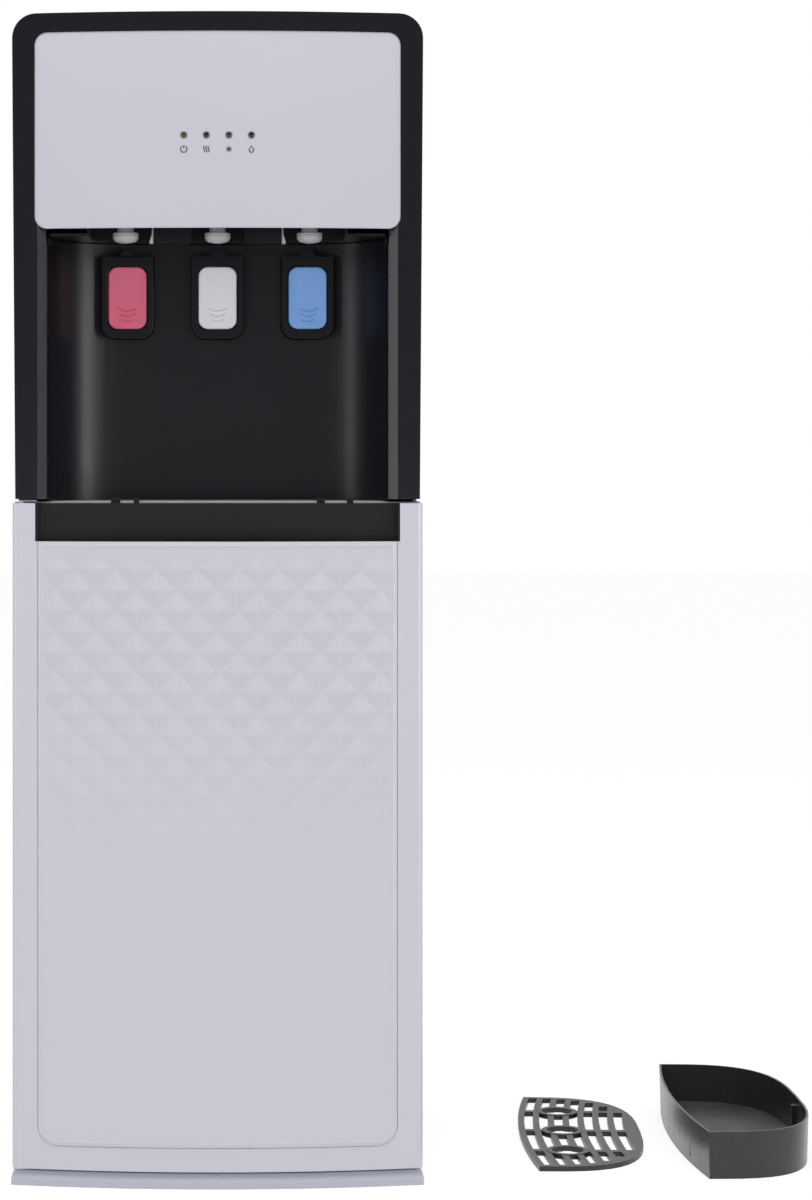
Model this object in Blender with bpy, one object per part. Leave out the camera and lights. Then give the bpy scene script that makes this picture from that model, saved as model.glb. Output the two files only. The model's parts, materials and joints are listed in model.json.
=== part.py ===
"""Free-standing bottom-loading water dispenser with three taps.

Metres, +Z up, the front faces -Y, and the origin is the middle of the base on the floor.
The drip tray and its grille are taken off and lie on the floor at the right.
"""
import math

import bmesh
import bpy
from mathutils import Matrix

# Cabinet
CABINET_WIDTH = 0.360
CABINET_DEPTH = 0.360
FRONT_BOW = 0.017
SHEET = 0.0015
PANEL_FLANGE = 0.014
SIDE_SHELL_INSET = 0.001
GAP = 0.0003
OVERRUN = 0.020

# Heights, from the floor up
PLINTH_HEIGHT = 0.0125
DOOR_GAP_LOW = 0.0022
DOOR_HEIGHT = 0.5831
DECK_GAP = 0.001
HEAD_GAP = 0.0026
HEAD_HEIGHT = 0.4256

# Base
BASE_RIB = 0.004
PLINTH_FLARE = 0.001
PLINTH_SETBACK = 0.006
PLINTH_FLARE_HEIGHT = 0.006
PLINTH_WALL = 0.004
PLINTH_SKIN = 0.003
PLATFORM_HEIGHT = 0.008
PLATFORM_RECESS = 0.003
BOTTLE_RADIUS = 0.135
BOTTLE_CLEARANCE = 0.004
BOTTLE_SETBACK = 0.005

# Door
DOOR_THICKNESS = 0.030
DOOR_CLEARANCE = 0.003
DOOR_SKIN = 0.003
DOOR_RIM = 0.018
DOOR_CORNER = 0.004
DOOR_CORNER_SHARE = 1 / 3
DOOR_REAR_CORNER = 0.005
RELIEF_MARGIN = 0.0226
RELIEF_MARGIN_LOW = 0.0209
RELIEF_CORNER = 0.0175
RELIEF_PROUD = 0.0012
RELIEF_SKIN = 0.0052
RELIEF_RECESS = 0.005
DIAMOND_WIDTH = 0.0357
DIAMOND_HEIGHT = 0.0359
DIAMOND_RISE = 0.0028
DIAMOND_TOP_MARGIN = 0.0418
DIAMOND_FREE_SHARE = 0.36
DIAMOND_SIDE_FADE = 0.012
HANDLE_BAND_HEIGHT = 0.0335
HANDLE_MARGIN = 0.0204
HANDLE_WALL = 0.002
HANDLE_BACK_INSET = 0.0055
HANDLE_POCKET_DROP = 0.014
LINING_THICKNESS = 0.002
STRIKE_WIDTH = 0.012
STRIKE_HEIGHT = 0.045
STRIKE_THICKNESS = 0.0012
CATCH_DEPTH = 0.010
CATCH_DROP = 0.1443
HINGE_INSET = 0.0075
PIN_RADIUS = 0.002
PIN_LENGTH = 0.014
PIN_CLEARANCE = 0.0004
BRACKET_THICKNESS = 0.0012
BRACKET_WIDTH = 0.018
BRACKET_OUTER_SHARE = 0.25
BRACKET_SEAT = 0.014
BRACKET_TAB = 0.030

# Deck between cabinet and head
DECK_THICKNESS = 0.003
DECK_RIM_WIDTH = 0.003
PEG_HEIGHT = 0.0032
PEG_DEPTH = 0.005
PEG_SETBACK = 0.004
PEG_CENTRE_SHARES = (-0.500, -0.398, 0.506, 0.650)
PEG_WIDTHS = (0.0080, 0.0045, 0.0070, 0.0055)
TRAY_SEAT_RISE = 0.0006
TRAY_SEAT_SETBACK = 0.011
LOCATOR_DEPTH = 0.016
LOCATOR_THICKNESS = 0.0025

# Head
HEAD_SETBACK = 0.0025
HEAD_FLARE = 0.003
HEAD_CORNER = 0.021
HEAD_SHELL = 0.0025
BEZEL_DEPTH = 0.045
BEZEL_BEVEL = 0.008
BEZEL_BEVEL_DEPTH = 0.007
BEZEL_WEB = 0.003
SIDE_PANEL_DROP = 0.037

# Display
DISPLAY_MARGIN = 0.0197
DISPLAY_TOP_MARGIN = 0.017
DISPLAY_HEIGHT = 0.1717
DISPLAY_CORNER = 0.011
DISPLAY_THICKNESS = 0.004
DISPLAY_SETBACK = 0.0005
DISPLAY_BEVEL = 0.0012
LAMP_SPACING = 0.01965
LAMP_RISE = 0.0807
LAMP_RADIUS = 0.0025
LAMP_TIP_SHARE = 0.6
LAMP_CLEARANCE = 0.0003
LAMP_PROUD = 0.0006
BOARD_WIDTH = 0.100
BOARD_HEIGHT = 0.032
BOARD_THICKNESS = 0.0016

# Alcove
TRAY_MARGIN = 0.032
TRAY_BACK_DEPTH = 0.107
TRAY_ROUNDNESS = 3.1
TRAY_CLEARANCE = 0.002
ALCOVE_WALL = 0.0025
CEILING_DROP = 0.0063
TONGUE_CLEARANCE = 0.003
POCKET_HEIGHT = 0.018
POCKET_END = 0.0305
POCKET_BEFORE_TAPS = 0.025
POCKET_BEHIND_TAPS = 0.030
BLOCK_INNER_X = 0.0235
BLOCK_TAP_DISTANCE = 0.025
BLOCK_DROP = 0.0045
BLOCK_DEPTH = 0.030
LENS_WIDTH = 0.0035
LENS_TOP_SHARE = 1 / 3
LENS_DEPTH = 0.020
LENS_DROP = 0.008

# Taps
TAP_SPACING_SHARE = 0.5507
TAP_SETBACK = 0.045
NECK_RADIUS = 0.00725
NECK_CLEARANCE = 0.0004
BOWL_RADIUS = 0.01145
BOWL_HEIGHT = 0.0089
BOWL_DROP = 0.0042
BOWL_BELLY_SHARE = 0.75
OUTLET_RADIUS = 0.004
OUTLET_FLAT = 0.00525
OUTLET_DEPTH = 0.0035
MANIFOLD_END = 0.0165
MANIFOLD_DEPTH = 0.030
MANIFOLD_HEIGHT = 0.020
MANIFOLD_CORNER = 0.010
SPIGOT_RADIUS = 0.005
SPIGOT_HEIGHT = 0.008

# Paddles
PADDLE_WIDTH = 0.0347
PADDLE_HEIGHT = 0.0566
PADDLE_DROP = 0.0214
PADDLE_CORNER = 0.0087
PADDLE_SETBACK = 0.0015
PADDLE_THICKNESS = 0.0035
PADDLE_CLEARANCE = 0.0008
PIVOT_DROP = 0.006
PIVOT_RADIUS = 0.0025
PIVOT_SETBACK = 0.0055
PIVOT_REACH = 0.0015
PADDLE_RIB_WIDTH = 0.003
PADDLE_RIB_DEPTH = 0.006
SMILE_RADIUS = 0.0140
SMILE_SHRINK = 0.0042
SMILE_LIFT = 0.0066
SMILE_STEP = 0.0047
SMILE_WIDTH = 0.0012
SMILE_RISE = 0.0006
SMILE_SPAN_DEG = 46.0
SURROUND_WIDTH = 0.047
SURROUND_ABOVE_PADDLE = 0.0094
SURROUND_BELOW_PADDLE = 0.0085
SURROUND_CORNER = 0.012
SURROUND_PROUD = 0.0205
SURROUND_DEPTH = 0.032
SURROUND_BACK_WALL = 0.002
BOSS_RADIUS = 0.0075
BOSS_DROP = 0.0015
BOSS_SETBACK = 0.010
SWITCH_WIDTH = 0.020
SWITCH_HEIGHT = 0.010
SWITCH_RISE = 0.014
SWITCH_BOARD_HEIGHT = 0.030
SWITCH_REACH = 0.0145

# Water system
SHELF_HEIGHT = 0.1562
SHELF_SETBACK = 0.028
SHELF_LIP = 0.012
COLD_RADIUS_SHARE = 0.2869
COLD_Y_SHARE = 0.5293
COLD_MARGIN_SIDE = 0.034
COLD_MARGIN_TOP = 0.102
COLD_JACKET = 0.022
JACKET_FLOOR = 0.0055
HOT_RADIUS_SHARE = 0.233
HOT_X_SHARE = -0.472
HOT_Y_SHARE = 0.5876
HOT_MARGIN_TOP = 0.0262
HOT_OUTLET_SHARE = 0.85
TANK_WALL = 0.0015
TANK_DOME = 0.011
NECK_HEIGHT = 0.010
HEATER_BAND = 0.003
HEATER_HEIGHT = 0.050
COMPRESSOR_RADIUS_SHARE = 0.2465
COMPRESSOR_X_SHARE = 0.361
COMPRESSOR_Y_SHARE = 0.6325
COMPRESSOR_MARGIN_TOP = 0.0312
COMPRESSOR_DOME = 0.031
COMPRESSOR_FOOT = 0.004
COMPRESSOR_FOOT_MARGIN = 0.008
PUMP_MARGIN = 0.035
PUMP_SETBACK = 0.0421
PUMP_WIDTH = 0.036
PUMP_DEPTH = 0.050
PUMP_HEIGHT = 0.034
PUMP_RIM = 0.003
BARB_RADIUS = 0.0045
BARB_LENGTH = 0.016
HOSE_RADIUS = 0.005
HOSE_BEND = 0.018
PIPE_RADIUS = 0.004
PIPE_RISE = 0.020
PIPE_STUB = 0.0065
PROBE_MARGIN = 0.0295
PROBE_REAR_MARGIN = 0.065
PROBE_DROP = 0.0538
PROBE_PARK_HEIGHT = 0.1042
PROBE_RADIUS = 0.008
PROBE_CAP_RADIUS = 0.028
PROBE_CAP_HEIGHT = 0.018
PROBE_CAP_ROUND = 0.005
PROBE_FOOT_RADIUS = 0.011
PROBE_FOOT_HEIGHT = 0.028
PROBE_FOOT_ROUND = 0.004
CLIP_DROP = 0.185
CLIP_HEIGHT = 0.016
CLIP_WALL = 0.003
CLIP_MOUTH_SHARE = 0.7

# Rear
REAR_RECESS = 0.014
COIL_TUBE_RADIUS = 0.0024
COIL_PITCH = 0.048
COIL_BOTTOM = 0.070
COIL_TOP_MARGIN = 0.060
COIL_MARGIN = 0.060
VENT_SLOT = 0.006
VENT_BAR = 0.008
VENT_ROWS = 7
VENT_HALF_WIDTH = 0.060
VENT_DROP = 0.167
VENT_SPINE = 0.010
ROCKER_WIDTH = 0.012
ROCKER_RADIUS = 0.0095
ROCKER_SINK = 0.001
ROCKER_DISH = 0.0012
ROCKER_TILT_DEG = 13.0
ROCKER_FACE_DEG = 68.0
ROCKER_BACK_DEG = 130.0
ROCKER_CLEARANCE = 0.0006
ROCKER_SPACING = 0.020
ROCKER_MARGIN = 0.075
ROCKER_RISE = 0.0986
ROCKER_CASE_WALL = 0.0015
GLAND_RADIUS = 0.010
GLAND_BORE = 0.0045
GLAND_LENGTH = 0.010
GLAND_MARGIN = 0.060
GLAND_RISE = 0.0336

# Drip tray and grille on the floor
TRAY_HEIGHT = 0.042
TRAY_WALL = 0.002
TRAY_SKIRT = 0.0045
TRAY_DRAFT = 0.0012
TRAY_FLOOR = 0.002
NUB_DROP = 0.008
NUB_SIZE = 0.004
GRILLE_CLEARANCE = 0.0006
GRILLE_THICKNESS = 0.0045
SLOT_DEPTH = 0.0082
SLOT_PITCH = 0.0142
SLOT_ROWS = 7
GRILLE_RIM = 0.0065
GRILLE_RIB = 0.008
DRIP_RING_RADIUS = 0.0195
DRIP_HOLE_RADIUS = 0.0145
DRIP_HOLE_SETBACK = 0.043
RING_PROUD = 0.0004
FLOOR_DISTANCE = 0.113
FLOOR_SPACING = 0.034
TRAY_FLOOR_Y = 0.004
GRILLE_FLOOR_Y = 0.031
GRILLE_YAW_DEG = -3.0

# Plan of the cabinet
HALF_WIDTH = CABINET_WIDTH / 2
FRONT_Y = -CABINET_DEPTH / 2
REAR_Y = CABINET_DEPTH / 2
BOW_RADIUS = HALF_WIDTH ** 2 / (2 * FRONT_BOW) + FRONT_BOW / 2
DOOR_BACK_Y = FRONT_Y + DOOR_THICKNESS
BODY_FRONT_Y = DOOR_BACK_Y + DOOR_CLEARANCE
PLATE_HALF = HALF_WIDTH - SIDE_SHELL_INSET
REAR_PANEL_Y = REAR_Y - REAR_RECESS
HEAD_FRONT_END_Y = FRONT_Y + BEZEL_DEPTH
HEAD_BACK_Y = REAR_Y - SHEET

# Levels
PLATFORM_TOP = PLINTH_HEIGHT + GAP + PLATFORM_HEIGHT
DOOR_BOTTOM = PLINTH_HEIGHT + DOOR_GAP_LOW
DOOR_TOP = DOOR_BOTTOM + DOOR_HEIGHT
RELIEF_BOTTOM = DOOR_BOTTOM + RELIEF_MARGIN_LOW
RELIEF_TOP = DOOR_TOP - HANDLE_BAND_HEIGHT
DIAMOND_TOP_ROW = RELIEF_TOP - DIAMOND_TOP_MARGIN
DIAMOND_END = RELIEF_BOTTOM + (RELIEF_TOP - RELIEF_BOTTOM) * DIAMOND_FREE_SHARE
DECK_TOP = DOOR_TOP + DECK_GAP
HEAD_BOTTOM = DECK_TOP + HEAD_GAP
HEAD_TOP = HEAD_BOTTOM + HEAD_HEIGHT
SIDE_PANEL_TOP = HEAD_TOP - SIDE_PANEL_DROP
DISPLAY_TOP = HEAD_TOP - DISPLAY_TOP_MARGIN
DISPLAY_BOTTOM = DISPLAY_TOP - DISPLAY_HEIGHT
LAMP_Z = DISPLAY_BOTTOM + LAMP_RISE
ALCOVE_CEILING = DISPLAY_BOTTOM - CEILING_DROP
POCKET_CEILING = ALCOVE_CEILING + POCKET_HEIGHT
BLOCK_BOTTOM = ALCOVE_CEILING - BLOCK_DROP
BOWL_BOTTOM = ALCOVE_CEILING - BOWL_DROP
BOWL_TOP = BOWL_BOTTOM + BOWL_HEIGHT
PADDLE_TOP = ALCOVE_CEILING - PADDLE_DROP
PADDLE_BOTTOM = PADDLE_TOP - PADDLE_HEIGHT
SURROUND_TOP = PADDLE_TOP + SURROUND_ABOVE_PADDLE
SURROUND_BOTTOM = PADDLE_BOTTOM - SURROUND_BELOW_PADDLE
SWITCH_Z = PADDLE_BOTTOM + SWITCH_RISE
SHELF_Z = DECK_TOP + SHELF_HEIGHT

# Alcove, taps and paddles
DISPLAY_HALF = HALF_WIDTH - DISPLAY_MARGIN
TRAY_HALF_WIDTH = HALF_WIDTH - TRAY_MARGIN
CHORD_Y = FRONT_Y + BOW_RADIUS - math.sqrt(BOW_RADIUS ** 2 - TRAY_HALF_WIDTH ** 2)
TAP_SPACING = TRAY_HALF_WIDTH * TAP_SPACING_SHARE
TAP_Y = FRONT_Y + TAP_SETBACK
TAPS = (("hot", -TAP_SPACING), ("room", 0.0), ("cold", TAP_SPACING))
POCKET_HALF_WIDTH = TAP_SPACING + POCKET_END
POCKET_FRONT_Y = TAP_Y - POCKET_BEFORE_TAPS
POCKET_REAR_Y = TAP_Y + POCKET_BEHIND_TAPS
BLOCK_OUTER_X = TAP_SPACING - BLOCK_TAP_DISTANCE
SURROUND_FACE_Y = CHORD_Y + TRAY_BACK_DEPTH + TRAY_CLEARANCE - SURROUND_PROUD
SURROUND_BACK_Y = SURROUND_FACE_Y + SURROUND_DEPTH
PADDLE_FACE_Y = SURROUND_FACE_Y + PADDLE_SETBACK

# Room for the tanks, between the switch board and the rear panel
ROOM_FRONT_Y = SURROUND_BACK_Y + GAP + BOARD_THICKNESS
ROOM_DEPTH = HEAD_BACK_Y - SHEET - ROOM_FRONT_Y
SHELF_FRONT_Y = SURROUND_BACK_Y + SHELF_SETBACK
COLD_RADIUS = ROOM_DEPTH * COLD_RADIUS_SHARE
JACKET_RADIUS = COLD_RADIUS + COLD_JACKET
COLD_X = JACKET_RADIUS + COLD_MARGIN_SIDE - HALF_WIDTH
COLD_Y = ROOM_FRONT_Y + ROOM_DEPTH * COLD_Y_SHARE
COLD_HEIGHT = HEAD_TOP - SHELF_Z - COLD_MARGIN_TOP
HOT_RADIUS = ROOM_DEPTH * HOT_RADIUS_SHARE
HOT_X = HALF_WIDTH * HOT_X_SHARE
HOT_Y = ROOM_FRONT_Y + ROOM_DEPTH * HOT_Y_SHARE
HOT_HEIGHT = SHELF_HEIGHT - HOT_MARGIN_TOP
COMPRESSOR_RADIUS = ROOM_DEPTH * COMPRESSOR_RADIUS_SHARE
COMPRESSOR_X = HALF_WIDTH * COMPRESSOR_X_SHARE
COMPRESSOR_Y = ROOM_FRONT_Y + ROOM_DEPTH * COMPRESSOR_Y_SHARE
COMPRESSOR_HEIGHT = SHELF_HEIGHT - COMPRESSOR_MARGIN_TOP
PUMP_X = HALF_WIDTH - PUMP_MARGIN
PUMP_Y = ROOM_FRONT_Y + PUMP_SETBACK

# Suction probe
PROBE_X = PLATE_HALF - SHEET - PROBE_MARGIN
PROBE_Y = REAR_Y - PROBE_REAR_MARGIN
PROBE_TOP = DECK_TOP - PROBE_DROP
PROBE_FOOT_Z = PLATFORM_TOP + PROBE_PARK_HEIGHT
CLIP_Z = PROBE_TOP - CLIP_DROP


def material(name, colour, roughness, metallic=0.0, alpha=1.0):
    made = bpy.data.materials.new(name)
    made.use_nodes = True
    shader = made.node_tree.nodes["Principled BSDF"]
    shader.inputs["Base Color"].default_value = (*colour, 1.0)
    shader.inputs["Roughness"].default_value = roughness
    shader.inputs["Metallic"].default_value = metallic
    shader.inputs["Alpha"].default_value = alpha
    return made


def add(name, bm, look=None, smooth=False):
    """Turn the bmesh into a scene object with its faces pointing out."""
    bmesh.ops.recalc_face_normals(bm, faces=bm.faces)
    mesh = bpy.data.meshes.new(name)
    bm.to_mesh(mesh)
    bm.free()
    obj = bpy.data.objects.new(name, mesh)
    bpy.context.scene.collection.objects.link(obj)
    if smooth:
        mesh.shade_smooth()
        mesh.set_sharp_from_angle(angle=math.radians(35))
    if look:
        mesh.materials.append(look)
    return obj


def combine(obj, other, operation):
    """Join, cut or intersect obj with other, and use other up."""
    step = obj.modifiers.new(operation.title(), "BOOLEAN")
    step.operation = operation
    step.solver = "EXACT"
    step.object = other
    bpy.context.view_layer.update()
    graph = bpy.context.evaluated_depsgraph_get()
    result = bpy.data.meshes.new_from_object(obj.evaluated_get(graph))
    obj.modifiers.remove(step)
    obj.data = result
    bpy.data.objects.remove(other)
    return obj


def cut(obj, other):
    return combine(obj, other, "DIFFERENCE")


def join(obj, other):
    return combine(obj, other, "UNION")


def common(obj, other):
    return combine(obj, other, "INTERSECT")


def finish(obj, look, smooth=False):
    """Give a shape made from others its own colour and shading."""
    obj.data.materials.clear()
    obj.data.materials.append(look)
    obj.data.shade_flat()
    if smooth:
        obj.data.shade_smooth()
        obj.data.set_sharp_from_angle(angle=math.radians(35))
    return obj


def loft(name, rings, look=None, smooth=False):
    """Skin a stack of closed rings with equal point counts and cap both ends."""
    bm = bmesh.new()
    rows = [[bm.verts.new(point) for point in ring] for ring in rings]
    count = len(rings[0])
    for low, high in zip(rows, rows[1:]):
        for i in range(count):
            j = (i + 1) % count
            bm.faces.new((low[i], low[j], high[j], high[i]))
    bm.faces.new(rows[0][::-1])
    bm.faces.new(rows[-1])
    return add(name, bm, look, smooth)


def prism(name, outline, axis, low, high, look=None):
    """Extrude a flat outline along X, Y or Z."""
    place = {
        "X": lambda a, b, t: (t, a, b),
        "Y": lambda a, b, t: (a, t, b),
        "Z": lambda a, b, t: (a, b, t),
    }[axis]
    rings = [[place(a, b, t) for a, b in outline] for t in (low, high)]
    return loft(name, rings, look)


def box(name, low, high, look=None):
    outline = [(low[0], low[1]), (high[0], low[1]), (high[0], high[1]), (low[0], high[1])]
    return prism(name, outline, "Z", low[2], high[2], look)


def turned(name, profile, centre, axis="Z", segments=20, look=None, closed=False):
    """Revolve (radius, height) pairs about an axis through the centre."""
    turns = [2 * math.pi * i / segments for i in range(segments)]
    bm = bmesh.new()
    rows = []
    for radius, height in profile:
        ring = []
        for turn in turns:
            a, b = radius * math.cos(turn), radius * math.sin(turn)
            offset = {"X": (height, a, b), "Y": (a, height, b), "Z": (a, b, height)}[axis]
            ring.append(bm.verts.new([c + o for c, o in zip(centre, offset)]))
        rows.append(ring)
    pairs = list(zip(rows, rows[1:])) + ([(rows[-1], rows[0])] if closed else [])
    for low, high in pairs:
        for i in range(segments):
            j = (i + 1) % segments
            bm.faces.new((low[i], low[j], high[j], high[i]))
    if not closed:
        bm.faces.new(rows[0])
        bm.faces.new(rows[-1])
    return add(name, bm, look, smooth=True)


def rod(name, radius, centre, axis, low, high, segments=20, look=None):
    return turned(name, [(radius, low), (radius, high)], centre, axis, segments, look)


def tube_along(name, points, radius, look, sides=1):
    """A round tube along a list of points, with filled ends."""
    curve = bpy.data.curves.new(name, "CURVE")
    curve.dimensions = "3D"
    curve.bevel_depth = radius
    curve.bevel_resolution = sides
    curve.use_fill_caps = True
    line = curve.splines.new("POLY")
    line.points.add(len(points) - 1)
    for slot, point in zip(line.points, points):
        slot.co = (*point, 1.0)
    line.use_smooth = True
    curve.materials.append(look)
    obj = bpy.data.objects.new(name, curve)
    bpy.context.scene.collection.objects.link(obj)
    return obj


def smooth_route(knots, steps):
    """A straight stub at each end and a Catmull-Rom curve through the knots between."""
    points = [tuple(knots[0])]
    for a, b, c, d in zip(knots, knots[1:], knots[2:], knots[3:]):
        for i in range(steps):
            t = i / steps
            points.append(tuple(
                (2 * q + (r - p) * t + (2 * p - 5 * q + 4 * r - s) * t * t
                 + (3 * q - p - 3 * r + s) * t ** 3) / 2
                for p, q, r, s in zip(a, b, c, d)
            ))
    return points + [tuple(knots[-2]), tuple(knots[-1])]


def arc(centre, radius, start_deg, end_deg, steps):
    turns = [math.radians(start_deg + (end_deg - start_deg) * i / steps) for i in range(steps + 1)]
    return [(centre[0] + radius * math.cos(t), centre[1] + radius * math.sin(t)) for t in turns]


def rounded(left, right, low, high, radius_low, radius_high, steps=5):
    """A rectangle with round corners, radius zero for square ones."""
    outline = []
    corners = (
        (left, low, 1, 1, radius_low, 180),
        (right, low, -1, 1, radius_low, 270),
        (right, high, -1, -1, radius_high, 0),
        (left, high, 1, -1, radius_high, 90),
    )
    for x, z, to_x, to_z, radius, start in corners:
        if radius:
            outline += arc((x + to_x * radius, z + to_z * radius), radius, start, start + 90, steps)
        else:
            outline.append((x, z))
    return outline


def front_y(x, inset=0.0):
    """The bowed front of the cabinet, set back by inset."""
    return FRONT_Y + inset + BOW_RADIUS - math.sqrt(BOW_RADIUS ** 2 - x ** 2)


def bow_points(left, right, inset, steps=16):
    span = [left + (right - left) * i / steps for i in range(steps + 1)]
    return [(x, front_y(x, inset)) for x in span]


def behind_bow(name, left, right, inset, back_y, low, high):
    """A block from the bowed front, set back by inset, to a flat back."""
    return prism(name, bow_points(left, right, inset) + [(right, back_y), (left, back_y)], "Z", low, high)


def before_bow(name, left, right, inset, low, high):
    """A cutter for all that lies before the bowed surface at this inset."""
    return behind_bow(name, left, right, inset, FRONT_Y - OVERRUN, low, high)


def d_curve(half_width, depth, chord_y, steps=24):
    """The deep rounded back of the alcove and the tray, from right to left."""
    points = []
    for i in range(steps + 1):
        turn = math.pi * i / steps
        across, along = math.cos(turn), abs(math.sin(turn))
        power = 2 / TRAY_ROUNDNESS
        x = half_width * math.copysign(abs(across) ** power, across)
        points.append((x, chord_y + depth * along ** power))
    return points


def tray_outline(inset):
    """The tray seen from above: the cabinet's bow in front, the deep curve behind."""
    half = TRAY_HALF_WIDTH - inset
    chord = front_y(half, inset)
    depth = CHORD_Y + TRAY_BACK_DEPTH - inset - chord
    return bow_points(-half, half, inset, 12)[:-1] + d_curve(half, depth, chord)[:-1]


def alcove_plan(grow, front_limit_y):
    """The alcove seen from above, grown outward, cut straight at the front limit."""
    half = TRAY_HALF_WIDTH + TRAY_CLEARANCE + grow
    depth = TRAY_BACK_DEPTH + TRAY_CLEARANCE + grow
    curve = [p for p in d_curve(half, depth, CHORD_Y, 32) if p[1] > front_limit_y]
    level = ((front_limit_y - CHORD_Y) / depth) ** TRAY_ROUNDNESS
    x = half * (1 - level) ** (1 / TRAY_ROUNDNESS)
    return [(-x, front_limit_y), (x, front_limit_y)] + curve


def grille_floor_x():
    return HALF_WIDTH + FLOOR_DISTANCE


def lay_down(obj, chord_x, centre_y, yaw_deg=0.0):
    """Turn a piece made in the alcove so that its front faces -X, and set it on the floor."""
    turn = Matrix.Rotation(math.radians(-90 + yaw_deg), 4, "Z")
    to_chord = Matrix.Translation((0.0, -CHORD_Y, 0.0))
    obj.data.transform(Matrix(turn @ to_chord))
    obj.location = (chord_x, centre_y, 0.0)
    return obj


def make_looks():
    return {
        "white": material("white_plastic", (0.60, 0.60, 0.67), 0.35),
        "display": material("display_plastic", (0.63, 0.62, 0.69), 0.30),
        "sheet": material("painted_sheet", (0.60, 0.60, 0.66), 0.40),
        "black": material("gloss_black", (0.014, 0.014, 0.017), 0.25),
        "satin": material("satin_black", (0.020, 0.020, 0.022), 0.45),
        "steel": material("stainless", (0.62, 0.62, 0.62), 0.30, 1.0),
        "galvanised": material("galvanised", (0.45, 0.46, 0.47), 0.45, 1.0),
        "enamel": material("black_enamel", (0.01, 0.01, 0.01), 0.35),
        "foam": material("foam", (0.80, 0.80, 0.78), 0.90),
        "clear": material("smoky_clear", (0.35, 0.35, 0.36), 0.15, 0.0, 0.6),
        "milky": material("milky_lens", (0.75, 0.75, 0.70), 0.30),
        "red": material("hot_red", (0.56, 0.14, 0.22), 0.40),
        "pale": material("room_white", (0.65, 0.65, 0.70), 0.40),
        "blue": material("cold_blue", (0.18, 0.33, 0.63), 0.40),
        "olive": material("lamp_olive", (0.10, 0.11, 0.02), 0.20),
        "maroon": material("lamp_maroon", (0.12, 0.01, 0.02), 0.20),
        "teal": material("lamp_teal", (0.01, 0.08, 0.10), 0.20),
        "board": material("circuit_board", (0.03, 0.16, 0.07), 0.50),
        "grille": material("grille_grey", (0.10, 0.10, 0.10), 0.40),
        "tray": material("tray_black", (0.03, 0.03, 0.03), 0.30),
        "silicone": material("silicone", (0.70, 0.72, 0.72), 0.35),
    }


def plinth_ring(setback, wall, z):
    half = HALF_WIDTH + PLINTH_FLARE - setback - wall
    back = REAR_Y - wall
    front = [(x, front_y(x, setback + wall - PLINTH_FLARE)) for x, _ in bow_points(-half, half, 0.0)]
    return [(x, y, z) for x, y in front + [(half, back), (-half, back)]]


def base_plinth(looks):
    """The moulded base: it stands on its flared rim and on two crossed ribs."""
    neck = PLINTH_HEIGHT - PLINTH_FLARE_HEIGHT
    roof = PLINTH_HEIGHT - PLINTH_SKIN
    rings = [
        plinth_ring(PLINTH_SETBACK, PLINTH_WALL, roof),
        plinth_ring(0.0, PLINTH_WALL, 0.0),
        plinth_ring(0.0, 0.0, 0.0),
        plinth_ring(0.0, 0.0, neck),
        plinth_ring(PLINTH_SETBACK, 0.0, PLINTH_HEIGHT),
    ]
    base = loft("base_plinth", rings)
    rib, skin = BASE_RIB / 2, PLINTH_SKIN / 2
    reach = HALF_WIDTH - PLINTH_WALL / 2
    ribs = box("ribs", (-reach, -rib, 0.0), (reach, rib, roof + skin))
    join(ribs, box("rib", (-rib, FRONT_Y + PLINTH_WALL / 2, 0.0), (rib, REAR_Y - PLINTH_WALL / 2, roof + skin)))
    finish(join(base, ribs), looks["white"])


def side_panels(looks):
    low, high = PLINTH_HEIGHT + GAP, DECK_TOP - DECK_THICKNESS - GAP
    outer, inner = PLATE_HALF, PLATE_HALF - SHEET
    lip = PLATE_HALF - PANEL_FLANGE
    front, back = BODY_FRONT_Y, REAR_Y
    outline = [
        (outer, front), (outer, back), (lip, back), (lip, back - SHEET),
        (inner, back - SHEET), (inner, front + SHEET), (lip, front + SHEET), (lip, front),
    ]
    for name, side in (("side_panel_right", 1), ("side_panel_left", -1)):
        prism(name, [(side * x, y) for x, y in outline], "Z", low, high, looks["sheet"])


def rear_panel(looks):
    """Lower back: a recessed sheet that carries the condenser."""
    half = PLATE_HALF - SHEET - GAP
    y = REAR_PANEL_Y
    low, high = PLINTH_HEIGHT + GAP, DECK_TOP - DECK_THICKNESS - GAP
    lip_y = y - SHEET - PANEL_FLANGE
    outline = [
        (-half, lip_y), (-half, y), (half, y), (half, lip_y),
        (half - SHEET, lip_y), (half - SHEET, y - SHEET), (-half + SHEET, y - SHEET), (-half + SHEET, lip_y),
    ]
    prism("rear_panel", outline, "Z", low, high, looks["galvanised"])


def condenser_coil(looks):
    """One tube that runs to and fro up the back, with as many bends as the height takes."""
    y = REAR_PANEL_Y + GAP + COIL_TUBE_RADIUS
    half = HALF_WIDTH - COIL_MARGIN
    bends = math.floor((DECK_TOP - COIL_TOP_MARGIN - COIL_BOTTOM) / COIL_PITCH)
    bend = COIL_PITCH / 2
    points = [(-half, y, COIL_BOTTOM)]
    for i in range(bends):
        side = 1 if i % 2 == 0 else -1
        centre = (side * half, COIL_BOTTOM + bend + i * COIL_PITCH)
        turn = arc(centre, bend, -90, 90, 5) if side > 0 else arc(centre, bend, 270, 90, 5)
        points += [(x, y, z) for x, z in turn]
    last = 1 if bends % 2 == 0 else -1
    points.append((last * half, y, COIL_BOTTOM + bends * COIL_PITCH))
    tube_along("condenser_coil", points, COIL_TUBE_RADIUS, looks["enamel"])


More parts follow.
